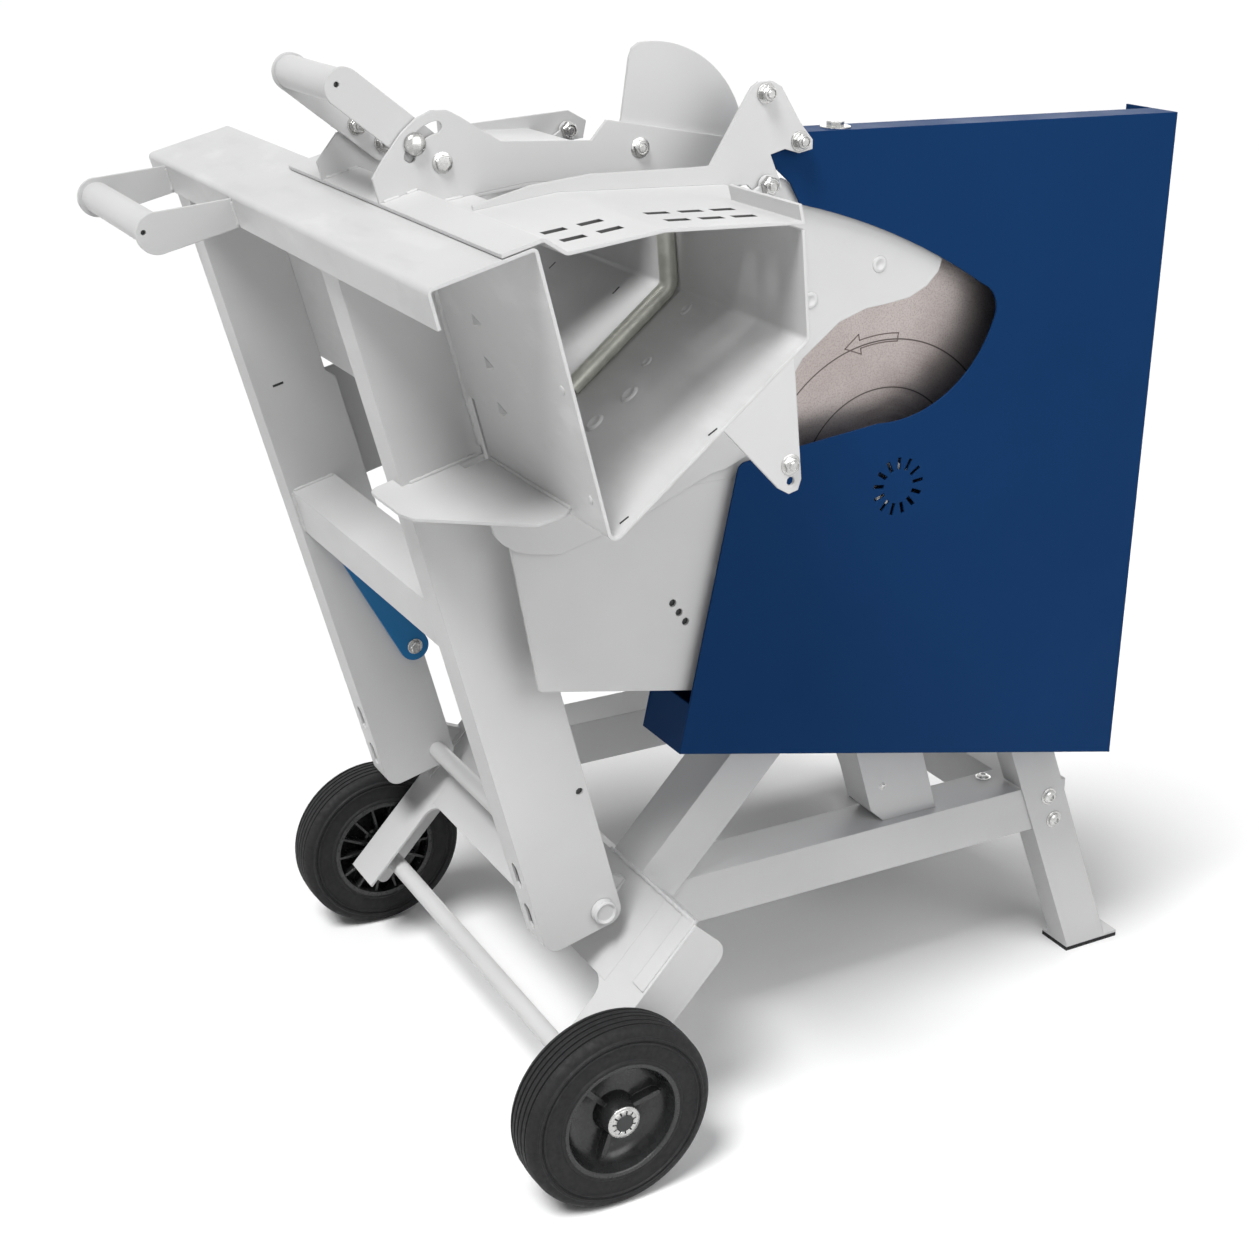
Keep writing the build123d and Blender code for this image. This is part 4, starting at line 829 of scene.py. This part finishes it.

# The slits are thin black plates on the sheet: painted shade that stands for the dark inside each cut.
with piece("slit_shade_marks", ROCKER, "rocker", "black_plastic") as shape:
    for slits, turn in ((TAIL_SLITS, TAIL_SLIT_TURN), (END_SLITS, END_SLIT_TURN)):
        for point in slits:
            place = at(*point, FACE_OUT_OF_FLOOR @ spun(turn))
            raised(shape, FLOOR_SLIT, SLIT_HEIGHT, SLIT_EDGE, place, SLIT_BASE)
    raised(shape, LEG_SLIT, SLIT_HEIGHT, SLIT_EDGE, at(*LEG_SLIT_AT, FACE_NEAR), SLIT_BASE)


# Painted shade in the holes of the legs, handles, panel and lid: dark sheets inside them stand for the shade there

LEG_HOLES_X = (180, -240)
LEG_HOLES_Z = (20, 70)
LEG_INSIDE_Y = -65.4
LEG_HOLE_SHADE = bar(7.5, 16.5)
LEG_HOLE_SHADE_HEIGHT = 1.2
LEG_HOLE_SHADE_EDGE = 0.6
LEVER_HOLE_X = 195.9
LEVER_HOLE_SHADE = disc(5, 0, 1.6, (0.6, 0.4))
ARM_HOLE_SHADE = disc(2.3, 0, 0.6, (0.3, 0.2))
ARM_HOLE_SHADE_SIDES = 12
PUSH_ARM_HOLE = (-24, -162, 730)
LID_ARM_HOLE = (-20, 841)
PANEL_HOLES = ((-242, -81), (-235, -91.5), (-228, -102))
PANEL_HOLES_X = 229.5
PANEL_HOLE_SHADE = disc(4.6, 0, 0.9, (0.4, 0.3))
LID_LINE = ((36, 725), (117, 714), (231, 680))
LID_HOLES_X = (370, 403)
LID_HOLES_Y = (57, 88, 145, 174, 202)
LID_HOLE_HALF = (5, 10)
LINING_WALLS = (0.03, 0.5)  # how far the lining's two sides stand off the hole's wall
LINING_LEVELS = (-0.1, -2.9)  # its upper and lower edge, from the lid's top

# Black sheets inside the holes of the legs, the lever and the push arm: painted shade.
with piece("leg_hole_shade", ROCKER, "rocker", "black_plastic") as shape:
    for x in LEG_HOLES_X:
        for z in LEG_HOLES_Z:
            place = at(x, LEG_INSIDE_Y, z, FACE_BACK)
            raised(shape, LEG_HOLE_SHADE, LEG_HOLE_SHADE_HEIGHT, LEG_HOLE_SHADE_EDGE, place)
    turned(shape, LEVER_HOLE_SHADE, at(LEVER_HOLE_X, *LEVER, FACE_NEAR), SMALL_ROUND)
    turned(shape, ARM_HOLE_SHADE, at(*PUSH_ARM_HOLE, FACE_NEAR), ARM_HOLE_SHADE_SIDES)

# Dark discs in the panel's holes: painted shade.
with piece("panel_hole_shade", BLADE, "base", "black_plastic") as shape:
    for hole in PANEL_HOLES:
        turned(shape, PANEL_HOLE_SHADE, at(PANEL_HOLES_X, *hole, FACE_FAR), SMALL_ROUND)


def lid_top(y):
    """Height of the lid's top and its fall per millimetre at y."""
    for (y0, z0), (y1, z1) in zip(LID_LINE, LID_LINE[1:]):
        if y <= y1:
            fall = (z0 - z1) / (y1 - y0)
            return z0 - fall * (y - y0), fall


def shade_lining(shape, x, y):
    """Thin dark lining round the inside of one of the lid's holes: painted shade."""
    top, fall = lid_top(y)
    thin, thick = LINING_WALLS
    upper, lower = LINING_LEVELS
    rings = []
    for wall, level in ((thin, upper), (thick, upper), (thick, lower), (thin, lower)):
        edge = bar(*(half - wall for half in LID_HOLE_HALF))
        rings.append([(x + u, y + v, top - fall * v + level) for u, v in edge])
    stack(shape, rings, closed=True)


# Dark linings in the lid's holes: painted shade.
with piece("lid_hole_shade", ROCKER, "lid", "black_plastic", HOLE_WALL_SHADE) as shape:
    for x in LID_HOLES_X:
        for y in LID_HOLES_Y:
            shade_lining(shape, x, y)

# Dark disc in the handle arm's hole: painted shade.
with piece("handle_hole_shade", ROCKER, "lid_handle", "black_plastic") as shape:
    turned(shape, ARM_HOLE_SHADE, at(HANDLE_INNER_X[1], *LID_ARM_HOLE, FACE_NEAR), ARM_HOLE_SHADE_SIDES)


# Direction arrow printed on the blade, as radius and turn, in strokes along its outline

BLADE_FACE_X = 211.5
ARROW_TURNS = range(84, 103, 3)
ARROW_OUTER_R = 143
ARROW_INNER_R = 135
ARROW_HEAD = ((149, 102), (141, 109), (129, 102))
STROKE_HALF = 0.6
STROKE_LAP = 0.4
STROKE_HEIGHT = 0.12
STROKE_EDGE = 0.05
STROKE_BASE = -0.1


def on_blade(radius, turn):
    return Vector((math.cos(math.radians(turn)), math.sin(math.radians(turn)))) * radius


arrow = [on_blade(ARROW_OUTER_R, turn) for turn in ARROW_TURNS]
arrow += [on_blade(*corner) for corner in ARROW_HEAD]
arrow += [on_blade(ARROW_INNER_R, turn) for turn in reversed(ARROW_TURNS)]
with piece("blade_arrow", BLADE, "blade", "black_plastic", PRINT) as shape:
    for start, end in zip(arrow, arrow[1:] + arrow[:1]):
        along = end - start
        lean = Matrix.Rotation(math.atan2(along.y, along.x), 4, "X")
        stroke = at(BLADE_FACE_X, *((start + end) / 2), lean @ FACE_NEAR)
        line = bar(STROKE_HALF, along.length / 2 + STROKE_LAP)
        raised(shape, line, STROKE_HEIGHT, STROKE_EDGE, stroke, STROKE_BASE)


# Floor, light and camera; the floor's size and the fill lamp's are in metres

WHITE = 1.0
WORLD_LIGHT = 0.15
FLOOR_LIGHT = 0.75
FLOOR_SIZE = 40
KEY = {"energy": 3.0, "spread": 22, "source": (0.27, -0.44, 0.86)}
BACK = {"energy": 0.75, "spread": 50, "source": (-0.6, 0.75, 0.2)}
FILL_ENERGY = 15
FILL_SIZE = 1.4
FILL_AT = (1700, 500, 1600)
FILL_TOWARDS = (150, 250, 800)
PHOTO_PIXELS = 1259
FOCAL_PIXELS = 1971
SENSOR = 36
CAMERA_AT = (1725, -736, 1245)
AZIMUTH = math.radians(61.89)
PITCH = math.radians(22.03)


def white_for_camera(tree, dim):
    """Colour that is white where the camera or a reflection sees it and dim as a light source."""
    path = tree.nodes.new("ShaderNodeLightPath")
    seen = path.outputs["Is Camera Ray"]
    for ray in ("Is Glossy Ray", "Is Transmission Ray"):
        either = tree.nodes.new("ShaderNodeMath")
        either.operation = "MAXIMUM"
        tree.links.new(seen, either.inputs[0])
        tree.links.new(path.outputs[ray], either.inputs[1])
        seen = either.outputs["Value"]
    mix = tree.nodes.new("ShaderNodeMix")
    mix.data_type = "RGBA"
    mix.inputs[MIX_FIRST].default_value = (dim, dim, dim, 1)
    mix.inputs[MIX_SECOND].default_value = (WHITE, WHITE, WHITE, 1)
    tree.links.new(seen, mix.inputs["Factor"])
    return mix.outputs[MIX_RESULT]


def looking(direction):
    """Rotation of a lamp or camera that looks along a direction."""
    return direction.to_track_quat("-Z", "Y").to_euler()


world = bpy.data.worlds.new("studio")
world.use_nodes = True
bpy.context.scene.world = world
backdrop = world.node_tree.nodes["Background"]
world.node_tree.links.new(white_for_camera(world.node_tree, WORLD_LIGHT), backdrop.inputs["Color"])

floor_material = bpy.data.materials.new("pale_floor")
floor_material.use_nodes = True
tree = floor_material.node_tree
matt = tree.nodes.new("ShaderNodeBsdfDiffuse")
tree.links.new(white_for_camera(tree, FLOOR_LIGHT), matt.inputs["Color"])
tree.links.new(matt.outputs["BSDF"], tree.nodes["Material Output"].inputs["Surface"])
floor_shape = bmesh.new()
bmesh.ops.create_grid(floor_shape, x_segments=1, y_segments=1, size=FLOOR_SIZE)
floor_mesh = bpy.data.meshes.new("floor")
floor_shape.to_mesh(floor_mesh)
floor_shape.free()
floor_mesh.materials.append(floor_material)
floor = add("floor", floor_mesh)


def soft_sun(name, energy, spread, source):
    """Soft light that comes from the side of source."""
    light = bpy.data.lights.new(name, "SUN")
    light.energy = energy
    light.angle = math.radians(spread)
    add(name, light).rotation_euler = looking(-Vector(source))


soft_sun("key", **KEY)
soft_sun("back", **BACK)
panel = bpy.data.lights.new("fill", "AREA")
panel.energy = FILL_ENERGY
panel.size = FILL_SIZE
fill = add("fill", panel)
fill.location = MACHINE @ Vector(FILL_AT)
fill.rotation_euler = looking(MACHINE @ Vector(FILL_TOWARDS) - fill.location)

camera = bpy.data.cameras.new("camera")
camera.sensor_width = SENSOR
camera.lens = SENSOR * FOCAL_PIXELS / PHOTO_PIXELS
eye = add("camera", camera)
eye.location = MACHINE @ Vector(CAMERA_AT)
level = math.cos(PITCH)
ahead = (-math.sin(AZIMUTH) * level, math.cos(AZIMUTH) * level, -math.sin(PITCH))
eye.rotation_euler = looking(Vector(ahead))
bpy.context.scene.camera = eye
bpy.context.scene.view_settings.view_transform = "Standard"
